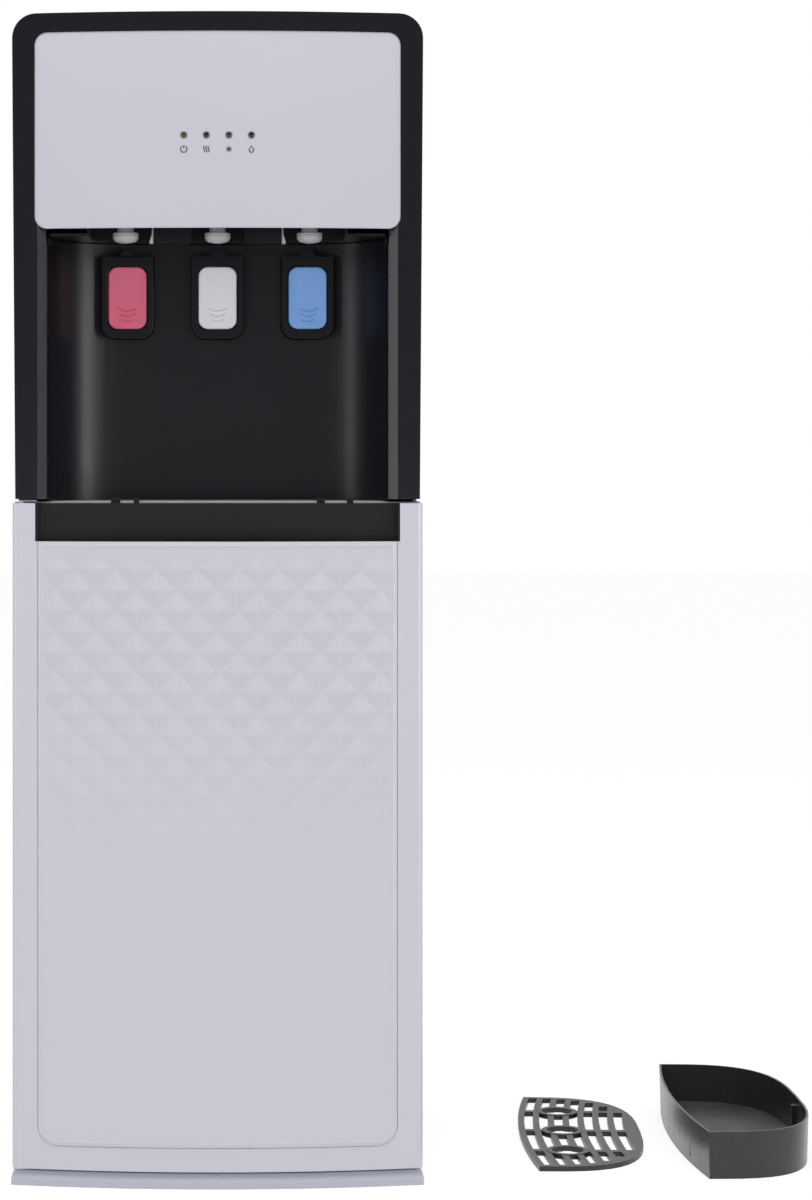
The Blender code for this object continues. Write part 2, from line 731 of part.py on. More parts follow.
def bottle_platform(looks):
    """The floor of the bottle's room, with a round recess that the bottle stands in."""
    half = PLATE_HALF - PANEL_FLANGE - GAP
    back = REAR_PANEL_Y - SHEET - PANEL_FLANGE - GAP
    plate = box("bottle_platform", (-half, BODY_FRONT_Y, PLINTH_HEIGHT + GAP), (half, back, PLATFORM_TOP))
    radius = BOTTLE_RADIUS + BOTTLE_CLEARANCE
    y = BODY_FRONT_Y + BOTTLE_SETBACK + radius
    seat = rod("seat", radius, (0.0, y, PLATFORM_TOP), "Z", -PLATFORM_RECESS, OVERRUN, 48)
    finish(cut(plate, seat), looks["satin"])


def hinge_place():
    """The door's pins stand midway through its thickness."""
    x = -HALF_WIDTH + HINGE_INSET
    return x, (front_y(x) + DOOR_BACK_Y) / 2


def hinge_bracket(name, plate_low, back, pin_low, pin_high):
    """A flat strap on the cabinet that carries one fixed door pin."""
    x, y = hinge_place()
    left = x - BRACKET_WIDTH * BRACKET_OUTER_SHARE
    front = y - PIN_RADIUS
    outline = [
        (left, back), (left, y), (x - PIN_RADIUS, front), (x + PIN_RADIUS, front),
        (left + BRACKET_WIDTH, y), (left + BRACKET_WIDTH, back),
    ]
    strap = prism(name, outline, "Z", plate_low, plate_low + BRACKET_THICKNESS)
    return join(strap, rod("pin", PIN_RADIUS, (x, y, 0.0), "Z", pin_low, pin_high, 16))


def hinge_brackets(looks):
    """The lower strap turns up against the side panel's flange; the upper one lies on the deck."""
    low = PLINTH_HEIGHT + GAP
    back = BODY_FRONT_Y - GAP
    middle = BRACKET_THICKNESS / 2
    lower = hinge_bracket("hinge_bottom", low, back, low + middle, DOOR_BOTTOM + PIN_LENGTH)
    left = hinge_place()[0] - BRACKET_WIDTH * BRACKET_OUTER_SHARE
    right = left + BRACKET_WIDTH
    join(lower, box("tab", (left, back - BRACKET_THICKNESS, low), (right, back, low + BRACKET_TAB)))
    finish(lower, looks["steel"])
    high = DECK_TOP + GAP
    upper = hinge_bracket("hinge_top", high, BODY_FRONT_Y + BRACKET_SEAT, DOOR_TOP - PIN_LENGTH, high + middle)
    finish(upper, looks["steel"])


def door_plan():
    """The door seen from above: bowed front, round corners, flat back."""
    corner = DOOR_CORNER
    share = corner * DOOR_CORNER_SHARE
    half = HALF_WIDTH
    side = front_y(half - corner) + corner
    front = bow_points(-half + corner, half - corner, 0.0)
    right = [(half - share, side - 2 * share), (half, side)]
    left = [(-half, side), (-half + share, side - 2 * share)]
    rear = DOOR_REAR_CORNER
    rear_left = arc((-half + rear, DOOR_BACK_Y - rear), rear, 90, 180, 5)
    return left + front + right + [(half, DOOR_BACK_Y)] + rear_left


def pin_hole(z_low, z_high):
    return rod("hole", PIN_RADIUS + PIN_CLEARANCE, (*hinge_place(), 0.0), "Z", z_low, z_high, 16)


def relief_outline(grow, top):
    half = HALF_WIDTH - RELIEF_MARGIN + grow
    return rounded(-half, half, RELIEF_BOTTOM - grow, top, RELIEF_CORNER + grow, 0.0)


def door_shell(looks):
    """The white door: columns beside the handle band, a recess for the relief panel, a hollow back."""
    shell = prism("door_shell", door_plan(), "Z", DOOR_BOTTOM, DOOR_TOP)
    behind = DOOR_BACK_Y + OVERRUN
    face = prism("face", relief_outline(GAP, RELIEF_TOP + OVERRUN), "Y", FRONT_Y - OVERRUN, behind)
    recess = before_bow("recess", -HALF_WIDTH, HALF_WIDTH, RELIEF_RECESS, DOOR_BOTTOM, RELIEF_TOP + GAP)
    cut(shell, common(recess, face))
    band = HALF_WIDTH - HANDLE_MARGIN + GAP
    cut(shell, box("band", (-band, FRONT_Y - OVERRUN, RELIEF_TOP), (band, behind, DOOR_TOP + OVERRUN)))
    pocket_low = RELIEF_TOP - HANDLE_POCKET_DROP - GAP
    inset = RELIEF_RECESS + DOOR_SKIN
    cut(shell, behind_bow("pocket", -band, band, inset, behind, pocket_low, RELIEF_TOP + GAP))
    inner, low = HALF_WIDTH - DOOR_RIM, DOOR_BOTTOM + DOOR_RIM
    cut(shell, behind_bow("hollow", -inner, inner, inset, behind, low, pocket_low - DOOR_SKIN))
    reach = PIN_LENGTH + PIN_RADIUS
    cut(shell, pin_hole(DOOR_BOTTOM - OVERRUN, DOOR_BOTTOM + reach))
    cut(shell, pin_hole(DOOR_TOP - reach, DOOR_TOP + OVERRUN))
    finish(shell, looks["white"], smooth=True)


def diamond_height(column, row, x, z):
    """The relief at a half-grid point: peaks and valleys by turns, fading downward and to the sides."""
    down = (z - DIAMOND_END) / (DIAMOND_TOP_ROW - DIAMOND_END)
    side = (HALF_WIDTH - RELIEF_MARGIN - abs(x)) / DIAMOND_SIDE_FADE
    height = DIAMOND_RISE / 2 * min(max(down, 0.0), 1.0) * min(max(side, 0.0), 1.0)
    return -height if (column + row) % 2 else height


def relief_grid():
    """The relief panel as a closed grid, larger than its outline, ready to be trimmed."""
    step_x, step_z = DIAMOND_WIDTH / 2, DIAMOND_HEIGHT / 2
    columns = round((HALF_WIDTH - RELIEF_MARGIN) / step_x) + 1
    above = math.ceil((RELIEF_TOP - DIAMOND_TOP_ROW) / step_z)
    below = math.ceil((DIAMOND_TOP_ROW - RELIEF_BOTTOM) / step_z)
    back = RELIEF_SKIN - RELIEF_PROUD
    bm = bmesh.new()
    front = {}
    for i in range(-columns, columns + 1):
        for j in range(-below, above + 1):
            x, z = i * step_x, DIAMOND_TOP_ROW + j * step_z
            rise = diamond_height(i + 1, j, x, z)
            front[i, j] = bm.verts.new((x, front_y(x, -RELIEF_PROUD) - rise, z))
    rear = {}
    for i in range(-columns, columns + 1):
        for j in (-below, above):
            x, z = i * step_x, DIAMOND_TOP_ROW + j * step_z
            rear[i, j] = bm.verts.new((x, front_y(x, back), z))
    for i in range(-columns, columns):
        for j in range(-below, above):
            a, b, c, d = front[i, j], front[i + 1, j], front[i + 1, j + 1], front[i, j + 1]
            if (i + 1 + j) % 2:
                bm.faces.new((a, b, c))
                bm.faces.new((a, c, d))
            else:
                bm.faces.new((a, b, d))
                bm.faces.new((b, c, d))
        bm.faces.new((rear[i, -below], rear[i + 1, -below], rear[i + 1, above], rear[i, above]))
        bm.faces.new((front[i, -below], front[i + 1, -below], rear[i + 1, -below], rear[i, -below]))
        bm.faces.new((front[i, above], front[i + 1, above], rear[i + 1, above], rear[i, above]))
    for i in (-columns, columns):
        edge = [front[i, j] for j in range(-below, above + 1)]
        bm.faces.new(edge + [rear[i, above], rear[i, -below]])
    return add("door_panel", bm)


def door_panel(looks):
    """The pressed front of the door, a little proud, up to the handle band."""
    trim = prism("trim", relief_outline(0.0, RELIEF_TOP), "Y", FRONT_Y - OVERRUN, DOOR_BACK_Y)
    finish(common(relief_grid(), trim), looks["white"])


def door_handle(looks):
    """The black recess behind the door's top lip."""
    half = HALF_WIDTH - HANDLE_MARGIN
    low = RELIEF_TOP - HANDLE_POCKET_DROP
    back = DOOR_BACK_Y - HANDLE_BACK_INSET
    body = behind_bow("door_handle", -half, half, DOOR_SKIN, back + HANDLE_WALL, low, DOOR_TOP)
    lip = RELIEF_RECESS + DOOR_SKIN + GAP
    cut(body, before_bow("lip", -HALF_WIDTH, HALF_WIDTH, lip, low - OVERRUN, RELIEF_TOP + GAP))
    inner = half - HANDLE_WALL
    room = behind_bow("room", -inner, inner, -OVERRUN, back, low + HANDLE_WALL, DOOR_TOP + OVERRUN)
    finish(cut(body, room), looks["satin"])


def door_liner(looks):
    """The flat cover on the back of the door, set inside the shell's rim."""
    inner = HALF_WIDTH - DOOR_RIM - GAP
    low = DOOR_BOTTOM + DOOR_RIM + GAP
    high = RELIEF_TOP - HANDLE_POCKET_DROP - DOOR_SKIN - 2 * GAP
    front = DOOR_BACK_Y - LINING_THICKNESS
    finish(box("door_liner", (-inner, front, low), (inner, DOOR_BACK_Y, high)), looks["white"])


def catch(looks):
    """A steel strike on the door and a magnet in the cabinet's front flange."""
    right = HALF_WIDTH - DOOR_RIM - 2 * GAP - DOOR_SKIN
    left = right - STRIKE_WIDTH
    low = RELIEF_TOP - CATCH_DROP
    high = low + STRIKE_HEIGHT
    y = DOOR_BACK_Y + GAP
    box("strike_plate", (left, y, low), (right, y + STRIKE_THICKNESS, high), looks["steel"])
    magnet_y = y + STRIKE_THICKNESS + GAP
    edge = PLATE_HALF - PANEL_FLANGE - GAP
    box("catch_magnet", (left, magnet_y, low), (edge, magnet_y + CATCH_DEPTH, high), looks["satin"])


def pegs():
    """Middle and half width of each peg."""
    return [(share * HALF_WIDTH, width / 2) for share, width in zip(PEG_CENTRE_SHARES, PEG_WIDTHS)]


def cabinet_deck(looks):
    """The plate between cabinet and head, with side rims, a raised tray seat and slots for the pegs."""
    low = DECK_TOP - DECK_THICKNESS
    deck = box("cabinet_deck", (-PLATE_HALF, BODY_FRONT_Y, low), (PLATE_HALF, REAR_Y, DECK_TOP))
    outer = head_half(HEAD_BOTTOM, SIDE_SHELL_INSET)
    front = BODY_FRONT_Y + BRACKET_SEAT + GAP
    for side in (-1, 1):
        near, far = sorted((side * outer, side * (outer - DECK_RIM_WIDTH)))
        join(deck, box("rim", (near, front, low), (far, HEAD_BACK_Y, HEAD_BOTTOM - GAP)))
    seat = alcove_plan(-TRAY_CLEARANCE, BODY_FRONT_Y + TRAY_SEAT_SETBACK)
    join(deck, prism("seat", seat, "Z", DECK_TOP - TRAY_SEAT_RISE, DECK_TOP + TRAY_SEAT_RISE))
    y = BODY_FRONT_Y + PEG_SETBACK
    near, far, above = y - GAP, y + PEG_DEPTH + GAP, DECK_TOP + OVERRUN
    for x, half in pegs():
        cut(deck, box("slot", (x - half - GAP, near, low - OVERRUN), (x + half + GAP, far, above)))
    cut(deck, rod("barb_hole", BARB_RADIUS + 2 * GAP, (PUMP_X, PUMP_Y, low), "Z", -OVERRUN, OVERRUN))
    finish(deck, looks["white"])


def tray_locator(looks):
    """A strip under the deck whose pegs stand up through it."""
    high = DECK_TOP - DECK_THICKNESS - GAP
    low = high - LOCATOR_THICKNESS
    y = BODY_FRONT_Y + PEG_SETBACK
    left, right = pegs()[0], pegs()[-1]
    ends = left[0] - 2 * left[1], right[0] + 2 * right[1]
    strip = box("tray_locator", (ends[0], y, low), (ends[1], y + LOCATOR_DEPTH, high))
    near, far, tip = y + GAP, y + PEG_DEPTH, DECK_TOP + PEG_HEIGHT
    for x, half in pegs():
        join(strip, box("peg", (x - half, near, low + GAP), (x + half, far, tip)))
    finish(strip, looks["satin"])


def head_half(z, inset=0.0):
    """Half the head's width, which grows from its foot to its top."""
    share = (z - HEAD_BOTTOM) / (HEAD_TOP - HEAD_BOTTOM)
    return HALF_WIDTH - HEAD_SETBACK + HEAD_FLARE * share - inset


def head_outline(inset=0.0):
    """The head seen from the front, from its lower right to its lower left corner."""
    radius = HEAD_CORNER - inset
    top = HEAD_TOP - inset
    shoulder = top - radius
    half = head_half(shoulder, inset)
    right = arc((half - radius, shoulder), radius, 0, 90, 8)
    left = [(-x, z) for x, z in reversed(right)]
    low = head_half(HEAD_BOTTOM, inset)
    return [(low, HEAD_BOTTOM)] + right + left + [(-low, HEAD_BOTTOM)]


def display_outline(grow):
    half = DISPLAY_HALF + grow
    radius = DISPLAY_CORNER + grow
    return rounded(-half, half, DISPLAY_BOTTOM - grow, DISPLAY_TOP + grow, radius, radius)


def web_inset():
    return DISPLAY_SETBACK + DISPLAY_THICKNESS + GAP


def alcove_cutter(low, high):
    """The alcove's mouth through the bezel, flared at the front."""
    half = TRAY_HALF_WIDTH + TRAY_CLEARANCE
    flare = half + BEZEL_BEVEL
    lip_y = front_y(flare)
    plan = alcove_plan(0.0, lip_y + BEZEL_BEVEL_DEPTH)
    before, inside = FRONT_Y - OVERRUN, lip_y + BEZEL_BEVEL_DEPTH
    right = [(flare, before), (flare, lip_y), (half, inside)]
    left = [(-half, inside), (-flare, lip_y), (-flare, before)]
    return prism("alcove", right + plan[2:-1] + left, "Z", low, high)


def head_bezel(looks):
    """The black front frame: two legs beside the alcove and a web behind the display."""
    before = FRONT_Y - OVERRUN
    behind = HEAD_FRONT_END_Y + OVERRUN
    web_bottom = DISPLAY_BOTTOM + BEZEL_BEVEL_DEPTH
    wide = HALF_WIDTH + OVERRUN
    bezel = prism("head_bezel", head_outline(), "Y", before, HEAD_FRONT_END_Y)
    common(bezel, behind_bow("bow", -wide, wide, 0.0, behind, HEAD_BOTTOM - OVERRUN, HEAD_TOP + OVERRUN))
    cut(bezel, alcove_cutter(HEAD_BOTTOM - OVERRUN, web_bottom))
    face = prism("face", display_outline(GAP), "Y", before, HEAD_FRONT_END_Y)
    cut(bezel, common(before_bow("recess", -wide, wide, web_inset(), HEAD_BOTTOM, HEAD_TOP), face))
    room = behind_bow("room", -DISPLAY_HALF, DISPLAY_HALF, web_inset() + BEZEL_WEB, behind,
                      web_bottom - OVERRUN, DISPLAY_TOP)
    cut(bezel, room)
    for x in lamp_places():
        hole = rod("hole", LAMP_RADIUS + 2 * LAMP_CLEARANCE, (x, FRONT_Y, LAMP_Z), "Y", -OVERRUN, OVERRUN, 16)
        cut(bezel, hole)
    finish(bezel, looks["black"], smooth=True)


def lamp_places():
    return [(i - 1.5) * LAMP_SPACING for i in range(4)]


def bowed_slab(name, face, back):
    """The space between two insets of the bowed front, around the display."""
    wide, behind = HALF_WIDTH, HEAD_FRONT_END_Y + OVERRUN
    low, high = DISPLAY_BOTTOM - OVERRUN, DISPLAY_TOP + OVERRUN
    slab = behind_bow(name, -wide, wide, face, HEAD_FRONT_END_Y, low, high)
    return cut(slab, behind_bow("rear", -wide - GAP, wide + GAP, back, behind, low - OVERRUN, high + OVERRUN))


def display_panel(looks):
    """The white panel: a bowed plate with a softened edge and four lamp holes."""
    bevel = DISPLAY_BEVEL
    face, back = DISPLAY_SETBACK, DISPLAY_SETBACK + DISPLAY_THICKNESS
    plate = prism("display_panel", display_outline(0.0), "Y", FRONT_Y - OVERRUN, HEAD_FRONT_END_Y)
    common(plate, bowed_slab("slab", face + bevel, back))
    raised = prism("raised", display_outline(-bevel), "Y", FRONT_Y - OVERRUN, HEAD_FRONT_END_Y)
    join(plate, common(raised, bowed_slab("skin", face, (face + back) / 2)))
    for x in lamp_places():
        hole = rod("hole", LAMP_RADIUS + LAMP_CLEARANCE, (x, FRONT_Y, LAMP_Z), "Y", -OVERRUN, OVERRUN, 16)
        cut(plate, hole)
    finish(plate, looks["display"], smooth=True)


def board_front_y():
    return front_y(BOARD_WIDTH / 2, web_inset() + BEZEL_WEB) + GAP


def lamps(looks):
    """Four lamps that reach from the board to just before the display's face."""
    kinds = (("power", "olive"), ("hot", "maroon"), ("cold", "teal"), ("water", "maroon"))
    for (name, look), x in zip(kinds, lamp_places()):
        face = front_y(x, DISPLAY_SETBACK)
        tip = LAMP_RADIUS * LAMP_TIP_SHARE
        profile = [(tip, face - LAMP_PROUD), (LAMP_RADIUS, face), (LAMP_RADIUS, board_front_y() - GAP)]
        turned("lamp_" + name, profile, (x, 0.0, LAMP_Z), "Y", 16, looks[look])


def indicator_board(looks):
    half, tall = BOARD_WIDTH / 2, BOARD_HEIGHT / 2
    front = board_front_y()
    back = front + BOARD_THICKNESS
    box("indicator_board", (-half, front, LAMP_Z - tall), (half, back, LAMP_Z + tall), looks["board"])


def alcove_wall(looks):
    """The black curved wall behind the tray, with a window for each paddle surround."""
    low, high = DECK_TOP + GAP, ALCOVE_CEILING - GAP
    front = HEAD_FRONT_END_Y + GAP
    wall = prism("alcove_wall", alcove_plan(ALCOVE_WALL, front), "Z", low, high)
    cut(wall, prism("room", alcove_plan(0.0, front - OVERRUN), "Z", low - OVERRUN, high + OVERRUN))
    for _, x in TAPS:
        cut(wall, prism("window", surround_outline(x, GAP), "Y", SURROUND_FACE_Y, SURROUND_BACK_Y + OVERRUN))
        cut(wall, rod("boss_way", BOSS_RADIUS + GAP, (x, 0.0, SURROUND_TOP - BOSS_DROP), "Y",
                      SURROUND_FACE_Y, SURROUND_BACK_Y + OVERRUN))
    finish(wall, looks["black"], smooth=True)


def tap_housing(looks):
    """The alcove's ceiling: a plate with a deep pocket for the nozzles and two blocks between them."""
    wall = ALCOVE_WALL
    half = TRAY_HALF_WIDTH + TRAY_CLEARANCE - TONGUE_CLEARANCE
    front = HEAD_FRONT_END_Y + GAP
    tip = POCKET_FRONT_Y - wall
    plan = alcove_plan(wall, front)
    tongue = [(-half, front), (-half, tip), (half, tip), (half, front)]
    housing = prism("tap_housing", tongue + plan[1:] + plan[:1], "Z", ALCOVE_CEILING, ALCOVE_CEILING + wall)
    side = POCKET_HALF_WIDTH
    join(housing, box("pocket_shell", (-side - wall, tip, ALCOVE_CEILING + wall / 2),
                      (side + wall, POCKET_REAR_Y + wall, POCKET_CEILING + wall)))
    under = ALCOVE_CEILING - OVERRUN
    cut(housing, box("pocket", (-side, POCKET_FRONT_Y, under), (side, POCKET_REAR_Y, POCKET_CEILING)))
    front, back = TAP_Y - BLOCK_DEPTH / 2, TAP_Y + BLOCK_DEPTH / 2
    root = POCKET_CEILING + wall / 2
    for side in (-1, 1):
        near, far = sorted((side * BLOCK_INNER_X, side * BLOCK_OUTER_X))
        join(housing, box("lamp_block", (near, front, BLOCK_BOTTOM), (far, back, root)))
    radius = NECK_RADIUS + NECK_CLEARANCE
    for _, x in TAPS:
        cut(housing, rod("neck_hole", radius, (x, TAP_Y, POCKET_CEILING), "Z", -wall, 2 * wall))
    finish(housing, looks["black"], smooth=True)


def night_lights(looks):
    """Two small milky fins at the outer ends of the blocks."""
    y = TAP_Y - LENS_DEPTH / 2
    low, neck, top = BLOCK_BOTTOM, BLOCK_BOTTOM + LENS_DROP, POCKET_CEILING - GAP
    for name, side in (("night_light_left", -1), ("night_light_right", 1)):
        x = side * (BLOCK_OUTER_X + GAP)
        far = x + side * LENS_WIDTH
        thin = x + side * LENS_WIDTH * LENS_TOP_SHARE
        outline = [(x, low), (far, low), (thin, neck), (thin, top), (x, top)]
        prism(name, outline, "Y", y, y + LENS_DEPTH, looks["milky"])


def nozzles(looks):
    """A round bowl with a narrow outlet, on a neck through the pocket's roof."""
    top = POCKET_CEILING + ALCOVE_WALL + GAP
    rise = BOWL_RADIUS - OUTLET_FLAT
    belly_height = rise * BOWL_BELLY_SHARE
    belly = [(OUTLET_FLAT + rise * math.sin(t), BOWL_BOTTOM + belly_height * (1 - math.cos(t)))
             for t in (math.pi / 2 * i / 4 for i in range(5))]
    outlet = [(OUTLET_RADIUS, BOWL_BOTTOM + OUTLET_DEPTH), (OUTLET_RADIUS, BOWL_BOTTOM)]
    neck = [(BOWL_RADIUS, BOWL_TOP), (NECK_RADIUS, BOWL_TOP), (NECK_RADIUS, top)]
    for name, x in TAPS:
        turned("nozzle_" + name, outlet + belly + neck, (x, TAP_Y, 0.0), look=looks["clear"])


def tap_manifold(looks):
    """The block over the nozzles with a spigot for each hose."""
    low = POCKET_CEILING + ALCOVE_WALL + 2 * GAP
    high = low + MANIFOLD_HEIGHT
    half, y = TAP_SPACING + MANIFOLD_END, TAP_Y - MANIFOLD_DEPTH / 2
    plan = rounded(-half, half, y, y + MANIFOLD_DEPTH, MANIFOLD_CORNER, MANIFOLD_CORNER)
    block = prism("tap_manifold", plan, "Z", low, high)
    for _, x in TAPS:
        join(block, rod("spigot", SPIGOT_RADIUS, (x, TAP_Y, high), "Z", -SPIGOT_HEIGHT, SPIGOT_HEIGHT, 16))
    finish(block, looks["satin"], smooth=True)


def surround_outline(x, grow):
    half = SURROUND_WIDTH / 2 + grow
    return rounded(x - half, x + half, SURROUND_BOTTOM - grow, SURROUND_TOP + grow, SURROUND_CORNER + grow, 0.0)


def pivot_place():
    return PADDLE_FACE_Y + PIVOT_SETBACK, PADDLE_TOP - PIVOT_DROP


def surrounds(looks):
    """A deep frame round each paddle, with blind pivot holes and an open back for the switch."""
    y, z = pivot_place()
    half = PADDLE_WIDTH / 2 + PADDLE_CLEARANCE
    low, high = PADDLE_BOTTOM - PADDLE_CLEARANCE, PADDLE_TOP + PADDLE_CLEARANCE
    reach = PADDLE_WIDTH / 2 + PIVOT_REACH + GAP
    gap, tall = SWITCH_WIDTH / 2 + GAP, SWITCH_HEIGHT / 2 + GAP
    face, back = SURROUND_FACE_Y, SURROUND_BACK_Y
    for name, x in TAPS:
        frame = prism("surround_" + name, surround_outline(x, 0.0), "Y", face, back)
        boss = (x, 0.0, SURROUND_TOP - BOSS_DROP)
        join(frame, rod("boss", BOSS_RADIUS, boss, "Y", face + GAP, back - BOSS_SETBACK))
        plan = rounded(x - half, x + half, low, high, PADDLE_CORNER, PADDLE_CORNER)
        cut(frame, prism("room", plan, "Y", face - OVERRUN, back - SURROUND_BACK_WALL))
        cut(frame, rod("pivots", PIVOT_RADIUS + GAP, (x, y, z), "X", -reach, reach, 16))
        cut(frame, box("switch_way", (x - gap, back - 2 * SURROUND_BACK_WALL, SWITCH_Z - tall),
                       (x + gap, back + OVERRUN, SWITCH_Z + tall)))
        finish(frame, looks["black"], smooth=True)


def paddles(looks):
    """Each paddle: a rounded plate with three smile ridges, a pivot bar and a push rib."""
    y, z = pivot_place()
    half = PADDLE_WIDTH / 2
    back = PADDLE_FACE_Y + PADDLE_THICKNESS
    reach = half + PIVOT_REACH
    for (name, x), look in zip(TAPS, ("red", "pale", "blue")):
        plan = rounded(-half, half, PADDLE_BOTTOM - z, PADDLE_TOP - z, PADDLE_CORNER, PADDLE_CORNER)
        plate = prism("paddle_" + name, plan, "Y", PADDLE_FACE_Y - y, back - y)
        join(plate, rod("bar", PIVOT_RADIUS, (0.0, 0.0, 0.0), "X", -reach, reach, 16))
        rib = PADDLE_RIB_WIDTH / 2
        low = PADDLE_BOTTOM + PADDLE_CORNER - z
        join(plate, box("rib", (-rib, back - y - GAP, low), (rib, back - y + PADDLE_RIB_DEPTH, 0.0)))
        for i in range(3):
            join(plate, smile(i, PADDLE_FACE_Y - y, z))
        plate.location = (x, y, z)
        finish(plate, looks[look], smooth=True)


def smile(index, face, pivot_z):
    """One raised curved ridge, smaller the lower it is."""
    radius = SMILE_RADIUS - index * SMILE_SHRINK
    span = SMILE_SPAN_DEG
    lowest = PADDLE_BOTTOM + SMILE_LIFT + (2 - index) * SMILE_STEP
    centre = (0.0, lowest + radius - pivot_z)
    outer = arc(centre, radius, 270 - span, 270 + span, 5)
    inner = arc(centre, radius - SMILE_WIDTH, 270 + span, 270 - span, 5)
    return prism("smile", outer + inner, "Y", face - SMILE_RISE, face + SMILE_RISE)


def switch_board(looks):
    """One board behind the lining with a switch body for each paddle."""
    y = SURROUND_BACK_Y + GAP
    half, wide = TAP_SPACING + SWITCH_WIDTH / 2, SWITCH_WIDTH / 2
    tall, high = SWITCH_HEIGHT / 2, SWITCH_BOARD_HEIGHT / 2
    board = box("switch_board", (-half, y, SWITCH_Z - high), (half, y + BOARD_THICKNESS, SWITCH_Z + high))
    for _, x in TAPS:
        join(board, box("switch", (x - wide, y - SWITCH_REACH, SWITCH_Z - tall),
                        (x + wide, y + BOARD_THICKNESS / 2, SWITCH_Z + tall)))
    finish(board, looks["board"])


def head_strip(name, looks, outline_outer, outline_inner):
    """A bent sheet, constant along the depth of the head."""
    prism(name, outline_outer + outline_inner[::-1], "Y", HEAD_FRONT_END_Y + GAP, HEAD_BACK_Y, looks["black"])


def head_covers(looks):
    """The head's skin in three sheets: a side at each hand and a cover over the top."""
    shell = HEAD_SHELL
    for name, side in (("head_side_left", -1), ("head_side_right", 1)):
        outer = [(side * head_half(z), z) for z in (HEAD_BOTTOM, SIDE_PANEL_TOP - GAP)]
        inner = [(side * head_half(z, shell), z) for z in (HEAD_BOTTOM, SIDE_PANEL_TOP - GAP)]
        head_strip(name, looks, outer, inner)
    outer = [(head_half(SIDE_PANEL_TOP), SIDE_PANEL_TOP)] + head_outline()[1:-1]
    outer.append((-head_half(SIDE_PANEL_TOP), SIDE_PANEL_TOP))
    inner = [(head_half(SIDE_PANEL_TOP, shell), SIDE_PANEL_TOP)] + head_outline(shell)[1:-1]
    inner.append((-head_half(SIDE_PANEL_TOP, shell), SIDE_PANEL_TOP))
    head_strip("top_cover", looks, outer, inner)


def rocker_places():
    x, z = HALF_WIDTH - ROCKER_MARGIN, HEAD_BOTTOM + ROCKER_RISE
    return (("rocker_heating", x, z), ("rocker_cooling", x + ROCKER_SPACING, z))


def head_rear_panel(looks):
    """The upper back: vents, two switch cases and the cord gland."""
    y, behind = HEAD_BACK_Y - SHEET, HEAD_BACK_Y + OVERRUN
    outline = head_outline(HEAD_SHELL + GAP)
    low = HEAD_BOTTOM + GAP
    outline = [(outline[0][0], low)] + outline[1:-1] + [(outline[-1][0], low)]
    panel = prism("head_rear_panel", outline, "Y", y, HEAD_BACK_Y)
    wide = ROCKER_WIDTH / 2 + ROCKER_CLEARANCE
    tall = ROCKER_RADIUS + ROCKER_CLEARANCE
    deep = HEAD_BACK_Y - ROCKER_SINK - ROCKER_RADIUS - ROCKER_CLEARANCE
    case = ROCKER_CASE_WALL
    for _, x, z in rocker_places():
        join(panel, box("case", (x - wide - case, deep - case, z - tall - case),
                        (x + wide + case, y + SHEET / 2, z + tall + case)))
        cut(panel, box("hole", (x - wide, deep, z - tall), (x + wide, behind, z + tall)))
    for row in range(VENT_ROWS):
        low = HEAD_TOP - VENT_DROP + row * (VENT_SLOT + VENT_BAR)
        for side in (-1, 1):
            near, far = sorted((side * VENT_SPINE / 2, side * VENT_HALF_WIDTH))
            cut(panel, box("vent", (near, y - OVERRUN, low), (far, behind, low + VENT_SLOT)))
    gland = (HALF_WIDTH - GLAND_MARGIN, HEAD_BACK_Y, HEAD_BOTTOM + GLAND_RISE)
    join(panel, rod("gland", GLAND_RADIUS, gland, "Y", -GLAND_LENGTH, SHEET))
    cut(panel, rod("bore", GLAND_BORE, gland, "Y", -GLAND_LENGTH - OVERRUN, OVERRUN))
    finish(panel, looks["satin"])


def rockers(looks):
    """Two rocker switches, tilted to on: a dished face between ends round about the pivot."""
    tilt = ROCKER_TILT_DEG
    upper = arc((0.0, 0.0), ROCKER_RADIUS, ROCKER_FACE_DEG + tilt, ROCKER_BACK_DEG + tilt, 4)
    lower = arc((0.0, 0.0), ROCKER_RADIUS, tilt - ROCKER_BACK_DEG, tilt - ROCKER_FACE_DEG, 4)
    dish = (ROCKER_DISH * math.cos(math.radians(tilt)), ROCKER_DISH * math.sin(math.radians(tilt)))
    half = ROCKER_WIDTH / 2
    for name, x, z in rocker_places():
        rocker = prism(name, [dish] + upper + lower, "X", -half, half, looks["red"])
        rocker.location = (x, HEAD_BACK_Y - ROCKER_SINK, z)


def tank_shelf(looks):
    """A folded shelf between the head's sides."""
    half = head_half(SHELF_Z, HEAD_SHELL) - 2 * GAP
    back = HEAD_BACK_Y - SHEET - GAP
    front = SHELF_FRONT_Y
    lip, under = SHELF_Z - SHELF_LIP, SHELF_Z - SHEET
    outline = [
        (front, lip), (front + SHEET, lip), (front + SHEET, under), (back - SHEET, under),
        (back - SHEET, lip), (back, lip), (back, SHELF_Z), (front, SHELF_Z),
    ]
    prism("tank_shelf", outline, "X", -half, half, looks["galvanised"])


def domed(radius, low, high, dome, steps=3):
    """A tank profile with a rounded bottom and top, flat in the middle."""
    turns = [math.radians(90 * i / steps) for i in range(1, steps + 1)]
    flat = math.cos(turns[0])
    bottom = [(radius * math.sin(t), low + dome * (flat - math.cos(t)) / flat) for t in turns]
    top = [(r, low + high - z) for r, z in reversed(bottom)]
    return bottom + top


